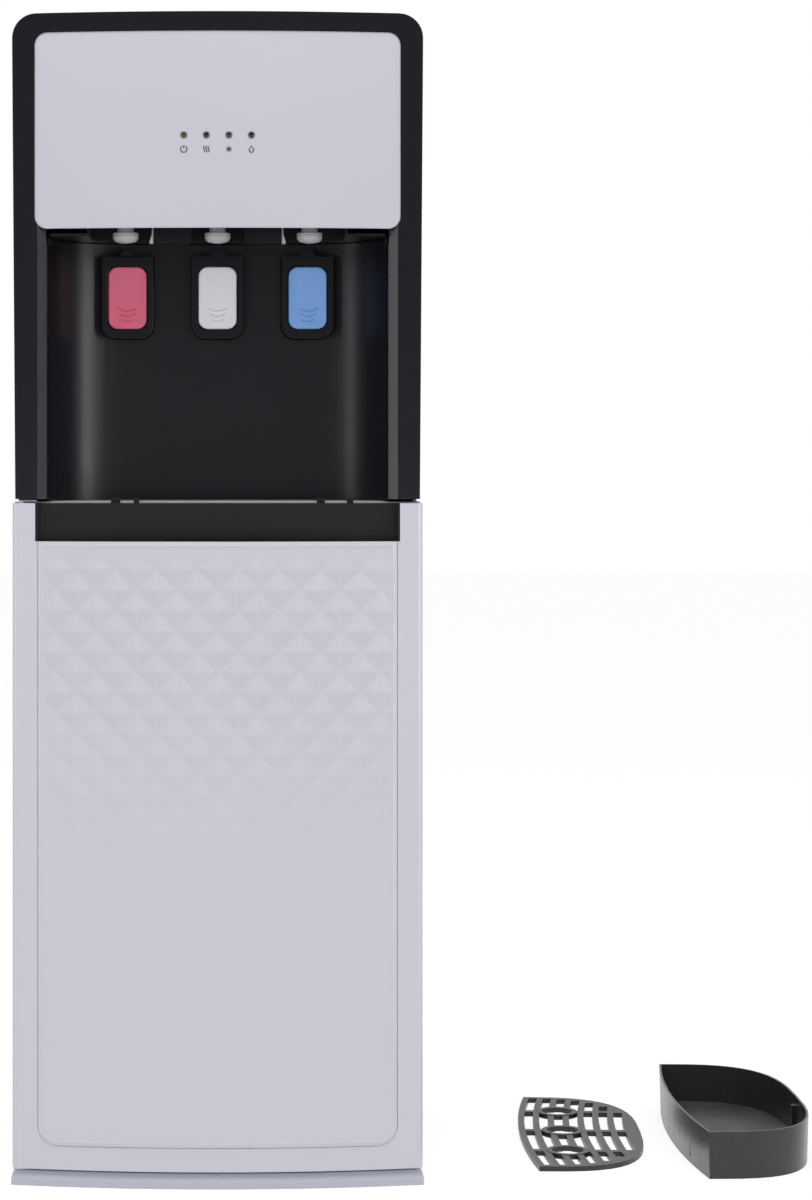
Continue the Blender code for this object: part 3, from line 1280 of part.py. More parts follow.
def tank_profile(radius, low, high, neck_top, outer=None):
    """A thin tank, open only at its neck: up the inside, over the neck's rim, down the outside."""
    dome, wall = TANK_DOME, TANK_WALL
    inner = domed(radius - wall, low + wall, high - wall, dome)
    neck = [(PIPE_RADIUS - wall, high - wall), (PIPE_RADIUS - wall, neck_top),
            (PIPE_RADIUS, neck_top), (PIPE_RADIUS, high)]
    return inner + neck + (outer or domed(radius, low, high, dome))[::-1]


def jacket_floor():
    return SHELF_Z + GAP + JACKET_FLOOR


def tanks(looks):
    """The cold tank in its foam jacket on the shelf, and the hot tank with its heater band on the deck."""
    base, floor = SHELF_Z + GAP, jacket_floor()
    low, high = floor + GAP, floor + COLD_HEIGHT
    profile = tank_profile(COLD_RADIUS, low, high, high + NECK_HEIGHT)
    turned("cold_tank", profile, (COLD_X, COLD_Y, 0.0), look=looks["steel"])
    top = high - TANK_DOME
    bore = COLD_RADIUS + GAP
    hole = COLD_RADIUS / 2
    outer = JACKET_RADIUS
    sleeve = [(bore, floor), (bore, top), (outer, top), (outer, base), (hole, base), (hole, floor)]
    turned("cold_tank_jacket", sleeve, (COLD_X, COLD_Y, 0.0), look=looks["foam"], closed=True)
    low = DECK_TOP + GAP
    high = low + HOT_HEIGHT
    body = domed(HOT_RADIUS, low, high, TANK_DOME)
    band_low = low + (HOT_HEIGHT - HEATER_HEIGHT) / 2
    proud = HOT_RADIUS + HEATER_BAND
    band = [(HOT_RADIUS, band_low), (proud, band_low), (proud, band_low + HEATER_HEIGHT),
            (HOT_RADIUS, band_low + HEATER_HEIGHT)]
    count = len(body) // 2
    profile = tank_profile(HOT_RADIUS, low, high, high + NECK_HEIGHT / 2, body[:count] + band + body[count:])
    turned("hot_tank", profile, (HOT_X, HOT_Y, 0.0), look=looks["steel"])


def compressor(looks):
    """A welded can with a belt round its seam, on a foot plate."""
    low = DECK_TOP + GAP
    foot = low + COMPRESSOR_FOOT
    seam = foot + COMPRESSOR_HEIGHT / 2
    radius, lip = COMPRESSOR_RADIUS, COMPRESSOR_RADIUS + COMPRESSOR_FOOT
    body = domed(radius, foot - COMPRESSOR_FOOT / 2, foot + COMPRESSOR_HEIGHT, COMPRESSOR_DOME)
    count = len(body) // 2
    belt = [(radius, seam - COMPRESSOR_FOOT), (lip, seam - COMPRESSOR_FOOT), (lip, seam), (radius, seam)]
    shell = turned("compressor", body[:count] + belt + body[count:], (COMPRESSOR_X, COMPRESSOR_Y, 0.0))
    margin = COMPRESSOR_FOOT_MARGIN
    half = radius + margin
    x, y = COMPRESSOR_X, COMPRESSOR_Y
    plate = rounded(x - half, x + half, y - radius, y + radius, margin, margin)
    finish(join(shell, prism("feet", plate, "Z", low, foot)), looks["enamel"], smooth=True)


def water_pump(looks):
    """A square pump with its motor on top and a barb down through the deck."""
    low = DECK_TOP + GAP
    high = low + PUMP_HEIGHT
    wide, deep = PUMP_WIDTH / 2, PUMP_DEPTH / 2
    pump = box("water_pump", (PUMP_X - wide, PUMP_Y - deep, low), (PUMP_X + wide, PUMP_Y + deep, high))
    join(pump, rod("motor", wide - PUMP_RIM, (PUMP_X, PUMP_Y, high), "Z", -PUMP_HEIGHT / 2, PUMP_HEIGHT))
    join(pump, rod("barb", BARB_RADIUS, (PUMP_X, PUMP_Y, low), "Z", -BARB_LENGTH, PUMP_HEIGHT / 2, 16))
    finish(pump, looks["satin"], smooth=True)


def pipes(looks):
    """Outlet pipes from the tanks to the outer spigots of the manifold."""
    spigot_top = POCKET_CEILING + ALCOVE_WALL + MANIFOLD_HEIGHT + SPIGOT_HEIGHT + 3 * GAP
    over = spigot_top + PIPE_RISE
    neck = jacket_floor() + COLD_HEIGHT + NECK_HEIGHT + GAP
    crest = neck + PIPE_RISE
    front = (SHELF_FRONT_Y + SURROUND_BACK_Y) / 2
    cold = [
        (COLD_X, COLD_Y, neck), (COLD_X, COLD_Y, neck + PIPE_STUB),
        (COLD_X, COLD_Y - PIPE_RISE, crest), ((COLD_X + TAP_SPACING) / 2, front, crest),
        (TAP_SPACING, TAP_Y, over), (TAP_SPACING, TAP_Y, spigot_top),
    ]
    tube_along("cold_pipe", smooth_route(cold, 5), PIPE_RADIUS, looks["silicone"])
    outlet = DECK_TOP + GAP + HOT_HEIGHT * HOT_OUTLET_SHARE
    wall = HOT_Y - HOT_RADIUS - GAP
    hot = [
        (HOT_X, wall, outlet), (HOT_X, wall - PIPE_STUB, outlet),
        (HOT_X, front + PIPE_RISE / 2, outlet + PIPE_RADIUS), (HOT_X, front, SHELF_Z),
        (HOT_X, front, spigot_top), (HOT_X, (front + TAP_Y) / 2, over + PIPE_RISE),
        (-TAP_SPACING, TAP_Y, over), (-TAP_SPACING, TAP_Y, spigot_top),
    ]
    tube_along("hot_pipe", smooth_route(hot, 5), PIPE_RADIUS, looks["silicone"])


def suction_probe(looks):
    """The rod that stands in the bottle, parked in its clip: foot, tube, bottle cap and nipple."""
    foot, shoe, top = PROBE_FOOT_Z, PROBE_FOOT_Z + PROBE_FOOT_HEIGHT, PROBE_TOP
    cap_low = top - PROBE_CAP_HEIGHT
    foot_round, cap_round = PROBE_FOOT_ROUND, PROBE_CAP_ROUND
    profile = [
        (PROBE_FOOT_RADIUS - foot_round, foot), (PROBE_FOOT_RADIUS, foot + foot_round),
        (PROBE_FOOT_RADIUS, shoe), (PROBE_RADIUS, shoe), (PROBE_RADIUS, cap_low), (PROBE_CAP_RADIUS, cap_low),
        (PROBE_CAP_RADIUS, top - cap_round), (PROBE_CAP_RADIUS - cap_round, top), (BARB_RADIUS, top),
        (BARB_RADIUS, top + BARB_LENGTH / 2),
    ]
    turned("suction_probe", profile, (PROBE_X, PROBE_Y, 0.0), look=looks["silicone"])


def probe_clip(looks):
    """A sprung C on the right side panel that holds the probe."""
    wall = PLATE_HALF - SHEET - GAP
    bore = PROBE_RADIUS + GAP
    outer = bore + CLIP_WALL
    low, high = CLIP_Z, CLIP_Z + CLIP_HEIGHT
    clip = rod("probe_clip", outer, (PROBE_X, PROBE_Y, low), "Z", 0.0, CLIP_HEIGHT)
    root = PROBE_X + PROBE_RADIUS
    join(clip, box("arm", (root, PROBE_Y - CLIP_WALL, low), (wall, PROBE_Y + CLIP_WALL, high)))
    cut(clip, rod("bore", bore, (PROBE_X, PROBE_Y, low), "Z", -OVERRUN, OVERRUN + CLIP_HEIGHT))
    mouth = PROBE_RADIUS * CLIP_MOUTH_SHARE
    cut(clip, box("mouth", (PROBE_X - 2 * outer, PROBE_Y - mouth, low - OVERRUN),
                  (PROBE_X - GAP, PROBE_Y + mouth, high + OVERRUN)))
    finish(clip, looks["satin"], smooth=True)


def suction_hose(looks):
    """The hose from the probe's nipple to the pump's barb, under the deck."""
    low = PROBE_TOP + BARB_LENGTH / 2 + GAP
    high = DECK_TOP + GAP - BARB_LENGTH - GAP
    stub = 2 * HOSE_RADIUS
    knots = [
        (PROBE_X, PROBE_Y, low), (PROBE_X, PROBE_Y, low + stub),
        (PROBE_X, PROBE_Y - HOSE_BEND, low + stub + HOSE_BEND / 2),
        (PROBE_X, (PROBE_Y + PUMP_Y) / 2, low + stub),
        (PUMP_X, PUMP_Y + HOSE_BEND, high - stub - HOSE_BEND / 2),
        (PUMP_X, PUMP_Y, high - stub), (PUMP_X, PUMP_Y, high),
    ]
    tube_along("suction_hose", smooth_route(knots, 5), HOSE_RADIUS, looks["silicone"])


def drip_tray(looks):
    """The deep tray: a skirt that clears the pegs, a floor, and nubs that hold the grille."""
    wall, floor = TRAY_WALL, TRAY_SKIRT + TRAY_FLOOR

    def ring(inset, z):
        return [(x, y, z) for x, y in tray_outline(inset)]

    low = TRAY_DRAFT
    rings = [
        ring(low + wall, TRAY_SKIRT), ring(low + wall, 0.0), ring(low, 0.0), ring(0.0, TRAY_HEIGHT),
        ring(wall, TRAY_HEIGHT), ring(low + wall, floor),
    ]
    tray = loft("drip_tray", rings)
    top = TRAY_HEIGHT - NUB_DROP
    y = CHORD_Y + TRAY_BACK_DEPTH
    size, root = NUB_SIZE, floor - GAP
    for _, x in TAPS:
        front = front_y(x, wall)
        join(tray, box("nub", (x - size, front - wall / 2, root), (x + size, front + size, top)))
    join(tray, box("nub", (-size, y - wall - size, root), (size, y - wall / 2, top)))
    finish(tray, looks["tray"], smooth=True)
    lay_down(tray, grille_floor_x() + TRAY_BACK_DEPTH + FLOOR_SPACING, TRAY_FLOOR_Y)


def slot_outline(row, left, right):
    """A slot that follows the bowed front, between two sides."""
    middle = GRILLE_RIM + TRAY_WALL + SLOT_DEPTH / 2 + row * SLOT_PITCH
    near = bow_points(left, right, middle - SLOT_DEPTH / 2, 3)
    far = bow_points(left, right, middle + SLOT_DEPTH / 2, 3)
    return near + far[::-1]


def slot_reach(row):
    """How far a row of slots may run before it meets the curved rim."""
    inset = TRAY_WALL + GRILLE_CLEARANCE + GRILLE_RIM
    half = TRAY_HALF_WIDTH - inset
    depth = TRAY_BACK_DEPTH - inset
    far = GRILLE_RIM + TRAY_WALL + SLOT_DEPTH + row * SLOT_PITCH
    reach = half
    for _ in range(6):
        level = max(front_y(reach, far) - CHORD_Y, 0.0) / depth
        reach = half * max(1 - level ** TRAY_ROUNDNESS, 0.0) ** (1 / TRAY_ROUNDNESS)
    return reach


def drip_grille(looks):
    """The slotted plate: seven bowed rows, three ribs and three drip rings."""
    outline = tray_outline(TRAY_WALL + GRILLE_CLEARANCE)
    grille = prism("drip_grille", outline, "Z", 0.0, GRILLE_THICKNESS)
    rib = GRILLE_RIB / 2
    for row in range(SLOT_ROWS):
        reach = slot_reach(row)
        bays = [(rib, TAP_SPACING - rib), (TAP_SPACING + rib, reach)]
        for left, right in bays:
            if right - left < SLOT_DEPTH:
                continue
            for side in (1, -1):
                ends = sorted((side * left, side * right))
                cut(grille, prism("slot", slot_outline(row, *ends), "Z", -OVERRUN, OVERRUN))
    y = FRONT_Y + DRIP_HOLE_SETBACK
    for _, x in TAPS:
        join(grille, rod("ring", DRIP_RING_RADIUS, (x, y, 0.0), "Z", RING_PROUD, GRILLE_THICKNESS + RING_PROUD))
    for _, x in TAPS:
        cut(grille, rod("hole", DRIP_HOLE_RADIUS, (x, y, 0.0), "Z", -OVERRUN, OVERRUN))
    finish(grille, looks["grille"], smooth=True)
    lay_down(grille, grille_floor_x(), GRILLE_FLOOR_Y, GRILLE_YAW_DEG)


def main():
    for obj in list(bpy.data.objects):
        bpy.data.objects.remove(obj)
    looks = make_looks()
    for build in (
        base_plinth, side_panels, rear_panel, condenser_coil, bottle_platform, hinge_brackets,
        door_shell, door_panel, door_handle, door_liner, catch, cabinet_deck, tray_locator,
        head_bezel, display_panel, lamps, indicator_board, alcove_wall, tap_housing, night_lights, nozzles,
        tap_manifold, surrounds, paddles, switch_board, head_covers, head_rear_panel, rockers,
        tank_shelf, tanks, compressor, water_pump, pipes, suction_probe, probe_clip, suction_hose,
        drip_tray, drip_grille,
    ):
        build(looks)


main()
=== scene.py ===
"""Looks of the bottom-loading water dispenser: its finishes, its fine parts, the studio and the camera."""
import math
from types import SimpleNamespace

import bmesh
import bpy
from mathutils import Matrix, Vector
from mathutils.bvhtree import BVHTree
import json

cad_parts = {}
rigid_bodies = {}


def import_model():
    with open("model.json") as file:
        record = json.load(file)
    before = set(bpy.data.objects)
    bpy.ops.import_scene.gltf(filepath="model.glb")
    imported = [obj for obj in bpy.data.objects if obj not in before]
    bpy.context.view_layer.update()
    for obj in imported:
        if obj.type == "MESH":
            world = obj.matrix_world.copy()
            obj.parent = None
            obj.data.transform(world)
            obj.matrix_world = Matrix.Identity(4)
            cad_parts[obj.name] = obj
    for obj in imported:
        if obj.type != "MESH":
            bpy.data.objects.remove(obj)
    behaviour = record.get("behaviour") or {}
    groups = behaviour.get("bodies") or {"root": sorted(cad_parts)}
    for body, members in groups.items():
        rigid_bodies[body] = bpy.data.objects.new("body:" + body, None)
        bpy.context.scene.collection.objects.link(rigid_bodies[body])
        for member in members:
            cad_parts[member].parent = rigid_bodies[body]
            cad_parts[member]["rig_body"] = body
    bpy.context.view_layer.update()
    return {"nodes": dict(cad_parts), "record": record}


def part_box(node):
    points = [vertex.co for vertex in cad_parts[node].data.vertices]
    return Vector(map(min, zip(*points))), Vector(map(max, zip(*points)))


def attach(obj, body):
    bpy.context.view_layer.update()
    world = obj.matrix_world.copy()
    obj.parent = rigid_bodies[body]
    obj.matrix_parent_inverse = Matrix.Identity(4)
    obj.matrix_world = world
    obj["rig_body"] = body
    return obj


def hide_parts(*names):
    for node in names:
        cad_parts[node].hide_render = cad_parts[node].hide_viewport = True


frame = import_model()

# The cabinet's bowed front, which every front piece follows
HALF_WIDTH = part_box("door_shell")[1].x
FRONT_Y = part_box("door_shell")[0].y
FRONT_BOW = 0.017
BOW_RADIUS = (HALF_WIDTH ** 2 + FRONT_BOW ** 2) / (2 * FRONT_BOW)

# Photograph's camera: the cabinet stands left of the middle and the lens is level
CAMERA_DISTANCE = 2.78
CAMERA_HEIGHT = 0.636
LENS_MM = 89.5
SHIFT_RIGHT = 0.157
SHIFT_DOWN = 0.117

# Edge radii, the gap where a piece is stuck on, and the limits for double points, flat faces and edges
SOFT_EDGE = 0.0008
FINE_EDGE = 0.0004
GLUE_GAP = 0.0001
DOUBLES = 1e-7
CAD_DOUBLES = 2e-6
FLAT_DEG = 0.25
EDGE_DEG = 28

# Door relief
RELIEF_EDGE = 0.0020
RELIEF_PROUD = 0.0012
RELIEF_WALL = 0.002
RELIEF_COLUMNS = 241
RELIEF_ROWS = 401
RELIEF_CROWDING = 0.30
RELIEF_BEAD = 0.0007
RELIEF_BEAD_WIDTH = 0.0034
RELIEF_CORNER = 0.0175
RELIEF_MARGIN = 0.010
RELIEF_HEAD_START = 0.006
RELIEF_HEAD_END = 0.028
DIAMOND_WIDTH = 0.0357
DIAMOND_HEIGHT = 0.0359
DIAMOND_RISE = 0.0040
DIAMOND_TOP_ROW = 0.5225
DIAMOND_FADE_LOW = 0.235
DIAMOND_FADE_HIGH = 0.430
DIAMOND_SOFTNESS = 0.05

# Display and its lamps
DISPLAY_CORNER = 0.011
DISPLAY_EDGE = 0.0016
DISPLAY_SETBACK = 0.0005
DOME_RISE = 0.42
LENS_PLAY = 1.02
LAMP_RIM = 0.0008
PRINT_LIFT = 0.00006
PICTOGRAM_DROP = 0.0123
PICTOGRAM_SIZE = 0.0056
PICTOGRAM_LINE = 0.00098

# Paddles: the plate's half width, its rounded rim and dished face, and the raised smiles
PADDLE_HALF = 0.01735
PADDLE_CORNER = 0.0087
PADDLE_THICKNESS = 0.0035
PADDLE_RIM = 0.0015
PADDLE_DISH = 0.0020
PIVOT_RADIUS = 0.0025
RIB_HALF = 0.0015
RIB_DEPTH = 0.006
SMILE_RADIUS = 0.0142
SMILE_SHRINK = 0.0030
SMILE_LIFT = 0.0066
SMILE_STEP = 0.0047
SMILE_WIDTH = 0.0015
SMILE_HEIGHT = 0.0012
SMILE_RISE = 0.0006
SMILE_SPAN_DEG = 46.0

# Nozzles; the lip and its groove as (step in from the wall, height over the foot)
BELLY_STEP = 0.0055
BELLY_RISE = 0.0052
BELLY_FOOT = 0.0004
LIP = ((0.0, 0.0066), (0.0004, 0.0069), (0.0004, 0.0073), (0.0, 0.0076), (0.0, 0.0085), (0.0004, 0.0089))
NECK_RADIUS = 0.00725
NECK_FILLET = 0.0006
OUTLET_RADIUS = 0.004
OUTLET_EASE = 0.0003
OUTLET_DEPTH = 0.0035

# Pegs that locate the tray: middle and half width of each
PEGS = ((-0.0900, 0.0040), (-0.07164, 0.00225), (0.09108, 0.0035), (0.1170, 0.00275))
HOOK_THICKNESS = 0.0016
HOOK_REACH = 0.0022
HOOK_DEPTH = 0.0045

# Seals between the side panels and the base
SEAL_WIDTH = 0.0040
SEAL_DROP = 0.0040

# Back of the cabinet
COIL_HALF = HALF_WIDTH - 0.060
COIL_PITCH = 0.048
WIRE_RADIUS = 0.0007
WIRE_PITCH = 0.0115
WIRE_END = 0.0075
SCREW_RADIUS = 0.0034
SCREW_HEIGHT = 0.0019

# Screws: the piece they hold, how far from the middle, at what heights
SCREWS = (
    ("rear_panel", 0.1705, (0.045, 0.215, 0.385, 0.560)),
    ("rear_panel", 0.06, (0.030, 0.575)),
    ("head_side_left", 0.1630, (0.622, 0.800, 0.965)),
    ("head_side_left", 0.055, (0.614, 1.005)),
)

# Marks of on and off on the rockers
RING_RISE = 0.0050
BAR_DROP = 0.0042
RING_RADIUS = 0.0012
BAR_HALF = 0.0014
MARK_WIDTH = 0.00044

# Studio levels: the room's light, and what gloss mirrors of it in front of and behind the cabinet
ROOM_LIGHT = 0.62
ROOM_AHEAD = 0.10
ROOM_BEHIND = 0.80
FLOOR_GLOW = 1.15
FLOOR_GLOW_SHARE = 0.72
FLOOR_REACH = 14.0

# Lamps: name, place, aim, size, watts, whether it is for gloss alone or for all but gloss
LAMPS = (
    ("front_panel", (0.0, -4.2, 1.5), (0.0, 0.0, 0.6), (5.2, 2.2), 46.0, False),
    ("left_strip", (-2.25, -0.90, 0.9), (0.0, -0.15, 0.6), (0.5, 2.0), 18.0, True),
    ("right_strip", (2.15, -1.10, 0.9), (0.0, -0.15, 0.6), (0.65, 2.0), 30.0, True),
    ("overhead_panel", (0.0, -0.8, 3.2), (0.0, -0.1, 0.6), (2.2, 1.6), 38.0, False),
)

# Node helpers


class Field:
    """What runs through a tree, for plain sums of sockets and numbers."""

    def __init__(self, tree, socket):
        self.tree, self.socket = tree, socket

    def __add__(self, other):
        return calc(self.tree, "ADD", self, other)

    def __sub__(self, other):
        return calc(self.tree, "SUBTRACT", self, other)

    def __rsub__(self, other):
        return calc(self.tree, "SUBTRACT", other, self)

    def __mul__(self, other):
        return calc(self.tree, "MULTIPLY", self, other)

    def __truediv__(self, other):
        return calc(self.tree, "DIVIDE", self, other)

    def __abs__(self):
        return calc(self.tree, "ABSOLUTE", self)

    def at_least(self, other):
        return calc(self.tree, "MAXIMUM", self, other)

    def at_most(self, other):
        return calc(self.tree, "MINIMUM", self, other)

    def root(self):
        return calc(self.tree, "SQRT", self)


def fields(tree, outputs):
    return {socket.name: Field(tree, socket) for socket in outputs}


def feed(tree, socket, value):
    """Link a field or a socket to the input, or set the input's own value."""
    if isinstance(value, Field):
        value = value.socket
    if isinstance(value, bpy.types.NodeSocket):
        tree.links.new(value, socket)
    else:
        socket.default_value = value


def add_node(tree, kind, settings=None, **inputs):
    """Add a node with its properties and, by name, its inputs."""
    made = tree.nodes.new(kind)
    for name, value in (settings or {}).items():
        setattr(made, name, value)
    for name, value in inputs.items():
        feed(tree, made.inputs[name.replace("_", " ")], value)
    return made


def calc(tree, operation, *values):
    """One step of arithmetic on numbers or fields."""
    step = add_node(tree, "ShaderNodeMath", {"operation": operation})
    for socket, value in zip(step.inputs, values):
        feed(tree, socket, value)
    return Field(tree, step.outputs[0])


def ranged(tree, value, low, high, how="LINEAR"):
    """Run from 0 to 1 while the value goes from low to high."""
    step = add_node(tree, "ShaderNodeMapRange", {"interpolation_type": how}, Value=value, From_Min=low,
                    From_Max=high)
    return Field(tree, step.outputs[0])


def scaled(tree, vector, factor):
    step = add_node(tree, "ShaderNodeVectorMath", {"operation": "SCALE"}, Scale=factor)
    feed(tree, step.inputs[0], vector)
    return step.outputs[0]


def blended(tree, factor, first, second):
    """Mix two colours by a factor."""
    step = add_node(tree, "ShaderNodeMix", {"data_type": "RGBA"})
    for socket, value in zip((step.inputs[0], step.inputs[6], step.inputs[7]), (factor, first, second)):
        feed(tree, socket, value)
    return step.outputs[2]


def noise(tree, coords, scale, detail=2.0, roughness=0.5):
    step = add_node(tree, "ShaderNodeTexNoise", Vector=coords, Scale=scale, Detail=detail,
                    Roughness=roughness)
    return Field(tree, step.outputs[0])


def object_coords(tree, **mapping):
    """Object coordinates, turned or stretched where a grain runs one way."""
    coords = add_node(tree, "ShaderNodeTexCoord").outputs["Object"]
    if mapping:
        coords = add_node(tree, "ShaderNodeMapping", Vector=coords, **mapping).outputs[0]
    return coords


def new_group(name, inputs, outputs):
    """A shader node group with named sockets; returns it with what it is given and a way to end it."""
    group = bpy.data.node_groups.new(name, "ShaderNodeTree")
    for label, value in inputs.items():
        kind = "NodeSocketColor" if isinstance(value, tuple) else "NodeSocketFloat"
        group.interface.new_socket(label, in_out="INPUT", socket_type=kind).default_value = value
    for label, kind in outputs.items():
        group.interface.new_socket(label, in_out="OUTPUT", socket_type="NodeSocket" + kind)
    given = fields(group, group.nodes.new("NodeGroupInput").outputs)
    ends = group.nodes.new("NodeGroupOutput").inputs

    def finish(**values):
        for label, value in values.items():
            feed(group, ends[label], value)
        return group

    return group, given, finish


def moulded_skin_group():
    """Moulded plastic and paint: faint clouds of shade, a fine grain, and roughness that wanders."""
    group, given, finish = new_group(
        "moulded_skin",
        {"Colour": (0.5, 0.5, 0.5, 1.0), "Mottle": 0.03, "Roughness": 0.35, "Spread": 0.06, "Grain": 900.0},
        {"Colour": "Color", "Roughness": "Float", "Height": "Float"},
    )
    coords = object_coords(group)
    clouds = noise(group, coords, 5.0, 3.0)
    patches = noise(group, coords, 42.0, 4.0, 0.6)
    grain = noise(group, coords, given["Grain"], 2.0)
    tone = (clouds - 0.5) * given["Mottle"] + 1.0
    return finish(Colour=scaled(group, given["Colour"], tone), Height=grain,
                  Roughness=(patches + grain - 1.0) * given["Spread"] + given["Roughness"])


def settled_dust_group():
    """Dust that settles thinly on faces that look up."""
    group, given, finish = new_group(
        "settled_dust",
        {"Colour": (0.5, 0.5, 0.5, 1.0), "Roughness": 0.35, "Dust": (0.32, 0.31, 0.29, 1.0), "Amount": 0.15},
        {"Colour": "Color", "Roughness": "Float"},
    )
    normal = add_node(group, "ShaderNodeNewGeometry").outputs["Normal"]
    up = add_node(group, "ShaderNodeSeparateXYZ", Vector=normal).outputs["Z"]
    coords = object_coords(group)
    specks = noise(group, coords, 260.0, 6.0, 0.7)
    drifts = noise(group, coords, 14.0, 2.0)
    amount = specks * drifts * (ranged(group, up, 0.55, 1.0) * 4.0) * given["Amount"]
    return finish(Colour=blended(group, amount, given["Colour"], given["Dust"]),
                  Roughness=amount * 0.5 + given["Roughness"])


def wipe_marks_group():
    """Hair-fine wipe marks, as a cloth leaves on gloss plastic."""
    group, given, finish = new_group("wipe_marks", {"Size": 60.0, "Share": 0.5}, {"Mask": "Float"})
    strokes = []
    for turn, stretch in ((0.35, (0.05, 1.0, 1.0)), (-0.9, (1.0, 1.0, 0.06))):
        coords = object_coords(group, Rotation=(0.0, turn, 0.0), Scale=stretch)
        strokes.append(ranged(group, noise(group, coords, given["Size"] * 12.0, 3.0), 0.60, 0.72))
    patch = ranged(group, noise(group, object_coords(group), 9.0, 2.0), 0.42, 0.62)
    return finish(Mask=strokes[0].at_least(strokes[1]) * patch * given["Share"])


SKIN = moulded_skin_group()
DUST = settled_dust_group()
WIPES = wipe_marks_group()


# Materials


def new_material(name, colour, roughness, metallic=0.0, **own):
    """A material with its Principled shader; own holds plain values of the shader's other sockets."""
    look = bpy.data.materials.new(name)
    look.use_nodes = True
    shader = look.node_tree.nodes["Principled BSDF"]
    plain = {"Base_Color": (*colour, 1.0), "Roughness": roughness, "Metallic": metallic, **own}
    for label, value in plain.items():
        shader.inputs[label.replace("_", " ")].default_value = value
    return look, look.node_tree, shader


def dress(tree, shader, colour, roughness, height=None, relief=0.0):
    """Give a shader its colour and roughness, and a relief where it has one."""
    feed(tree, shader.inputs["Base Color"], colour)
    feed(tree, shader.inputs["Roughness"], roughness)
    if height:
        step = add_node(tree, "ShaderNodeBump", Height=height, Distance=relief, Strength=1.0)
        feed(tree, shader.inputs["Normal"], step.outputs[0])


def grouped(tree, group, **inputs):
    return fields(tree, add_node(tree, "ShaderNodeGroup", {"node_tree": group}, **inputs).outputs)


def plastic(name, colour, roughness, mottle, spread, grain, relief, dust=0.0, wipes=0.0, shine=0.5, **own):
    """Moulded plastic or paint with grain and, where given, settled dust and wipe marks."""
    look, tree, shader = new_material(name, colour, roughness, Specular_IOR_Level=shine, **own)
    skin = grouped(tree, SKIN, Colour=(*colour, 1.0), Mottle=mottle, Roughness=roughness, Spread=spread,
                   Grain=grain)
    tone, worn = skin["Colour"], skin["Roughness"]
    if wipes:
        worn = worn + grouped(tree, WIPES, Size=60.0, Share=wipes)["Mask"]
    if dust:
        dusty = grouped(tree, DUST, Colour=tone, Roughness=worn, Amount=dust)
        tone, worn = dusty["Colour"], dusty["Roughness"]
    dress(tree, shader, tone, worn, skin["Height"], relief)
    return look


def galvanised_sheet(colour=(0.46, 0.47, 0.48)):
    """Zinc spangle in crystals a few millimetres across."""
    look, tree, shader = new_material("galvanised_sheet", colour, 0.42, 1.0)
    coords = object_coords(tree)
    crystals = add_node(tree, "ShaderNodeTexVoronoi", Vector=coords, Scale=130.0).outputs["Color"]
    tone = Field(tree, add_node(tree, "ShaderNodeSeparateColor", Color=crystals).outputs[0])
    dress(tree, shader, scaled(tree, colour, tone * 0.22 + 0.87), tone * 0.22 + 0.32,
          noise(tree, coords, 300.0), 0.00002)
    return look


def drawn_steel(name, colour, roughness, stretch):
    """Steel with the fine lines of rolling or turning along one way."""
    look, tree, shader = new_material(name, colour, roughness, 1.0)
    lines = noise(tree, object_coords(tree, Scale=stretch), 900.0, 4.0, 0.6)
    stain = noise(tree, object_coords(tree), 18.0, 3.0)
    dress(tree, shader, scaled(tree, colour, stain * 0.16 + 0.92), lines * 0.25 + (roughness - 0.12),
          lines, 0.00001)
    return look


def insulating_foam(colour=(0.78, 0.78, 0.74)):
    """Off-white bead foam with dents between its beads, its colour darker in the dents as painted shade."""
    look, tree, shader = new_material("insulating_foam", colour, 0.9)
    cells = add_node(tree, "ShaderNodeTexVoronoi", Vector=object_coords(tree), Scale=260.0)
    beads = Field(tree, cells.outputs["Distance"])
    # The colour darkens away from each bead's middle: painted shade in the dents between the beads.
    dress(tree, shader, scaled(tree, colour, beads * -0.18 + 1.04), beads * 0.1 + 0.85, beads * -1.0, 0.0006)
    return look


def lamp_lens(name, colour):
    """Tinted epoxy dome of an unlit lamp: darker in the middle over its die, and painted lighter towards its
    rim by the viewing angle, as a halo.
    """
    look, tree, shader = new_material(name, colour, 0.12, Coat_Weight=0.6)
    # The facing term is a painted halo: it lightens the colour where the dome turns away from the view.
    depth = Field(tree, add_node(tree, "ShaderNodeLayerWeight", Blend=0.45).outputs["Facing"])
    cloud = noise(tree, object_coords(tree), 900.0, 3.0)
    tone = cloud * 0.5 + (depth * 1.1 + 0.5)
    dress(tree, shader, scaled(tree, colour, tone), cloud * 0.10 + 0.08)
    return look


def printed_ink(name, colour):
    """Screen-printed ink with thin spots."""
    look, tree, shader = new_material(name, colour, 0.5)
    spots = noise(tree, object_coords(tree), 2500.0, 3.0)
    dress(tree, shader, scaled(tree, colour, spots * 0.5 + 0.75), spots * 0.2 + 0.4)
    return look


def circuit_board():
    """Green solder mask over a maze of tracks."""
    look, tree, shader = new_material("circuit_board", (0.02, 0.13, 0.06), 0.4)
    tracks = add_node(tree, "ShaderNodeTexBrick", Vector=object_coords(tree), Scale=260.0).outputs["Fac"]
    cloud = noise(tree, object_coords(tree), 60.0, 3.0)
    tint = blended(tree, tracks, (0.02, 0.12, 0.05, 1.0), (0.05, 0.22, 0.10, 1.0))
    dress(tree, shader, scaled(tree, tint, cloud * 0.4 + 0.8), cloud * 0.2 + 0.3, tracks, 0.00004)
    return look


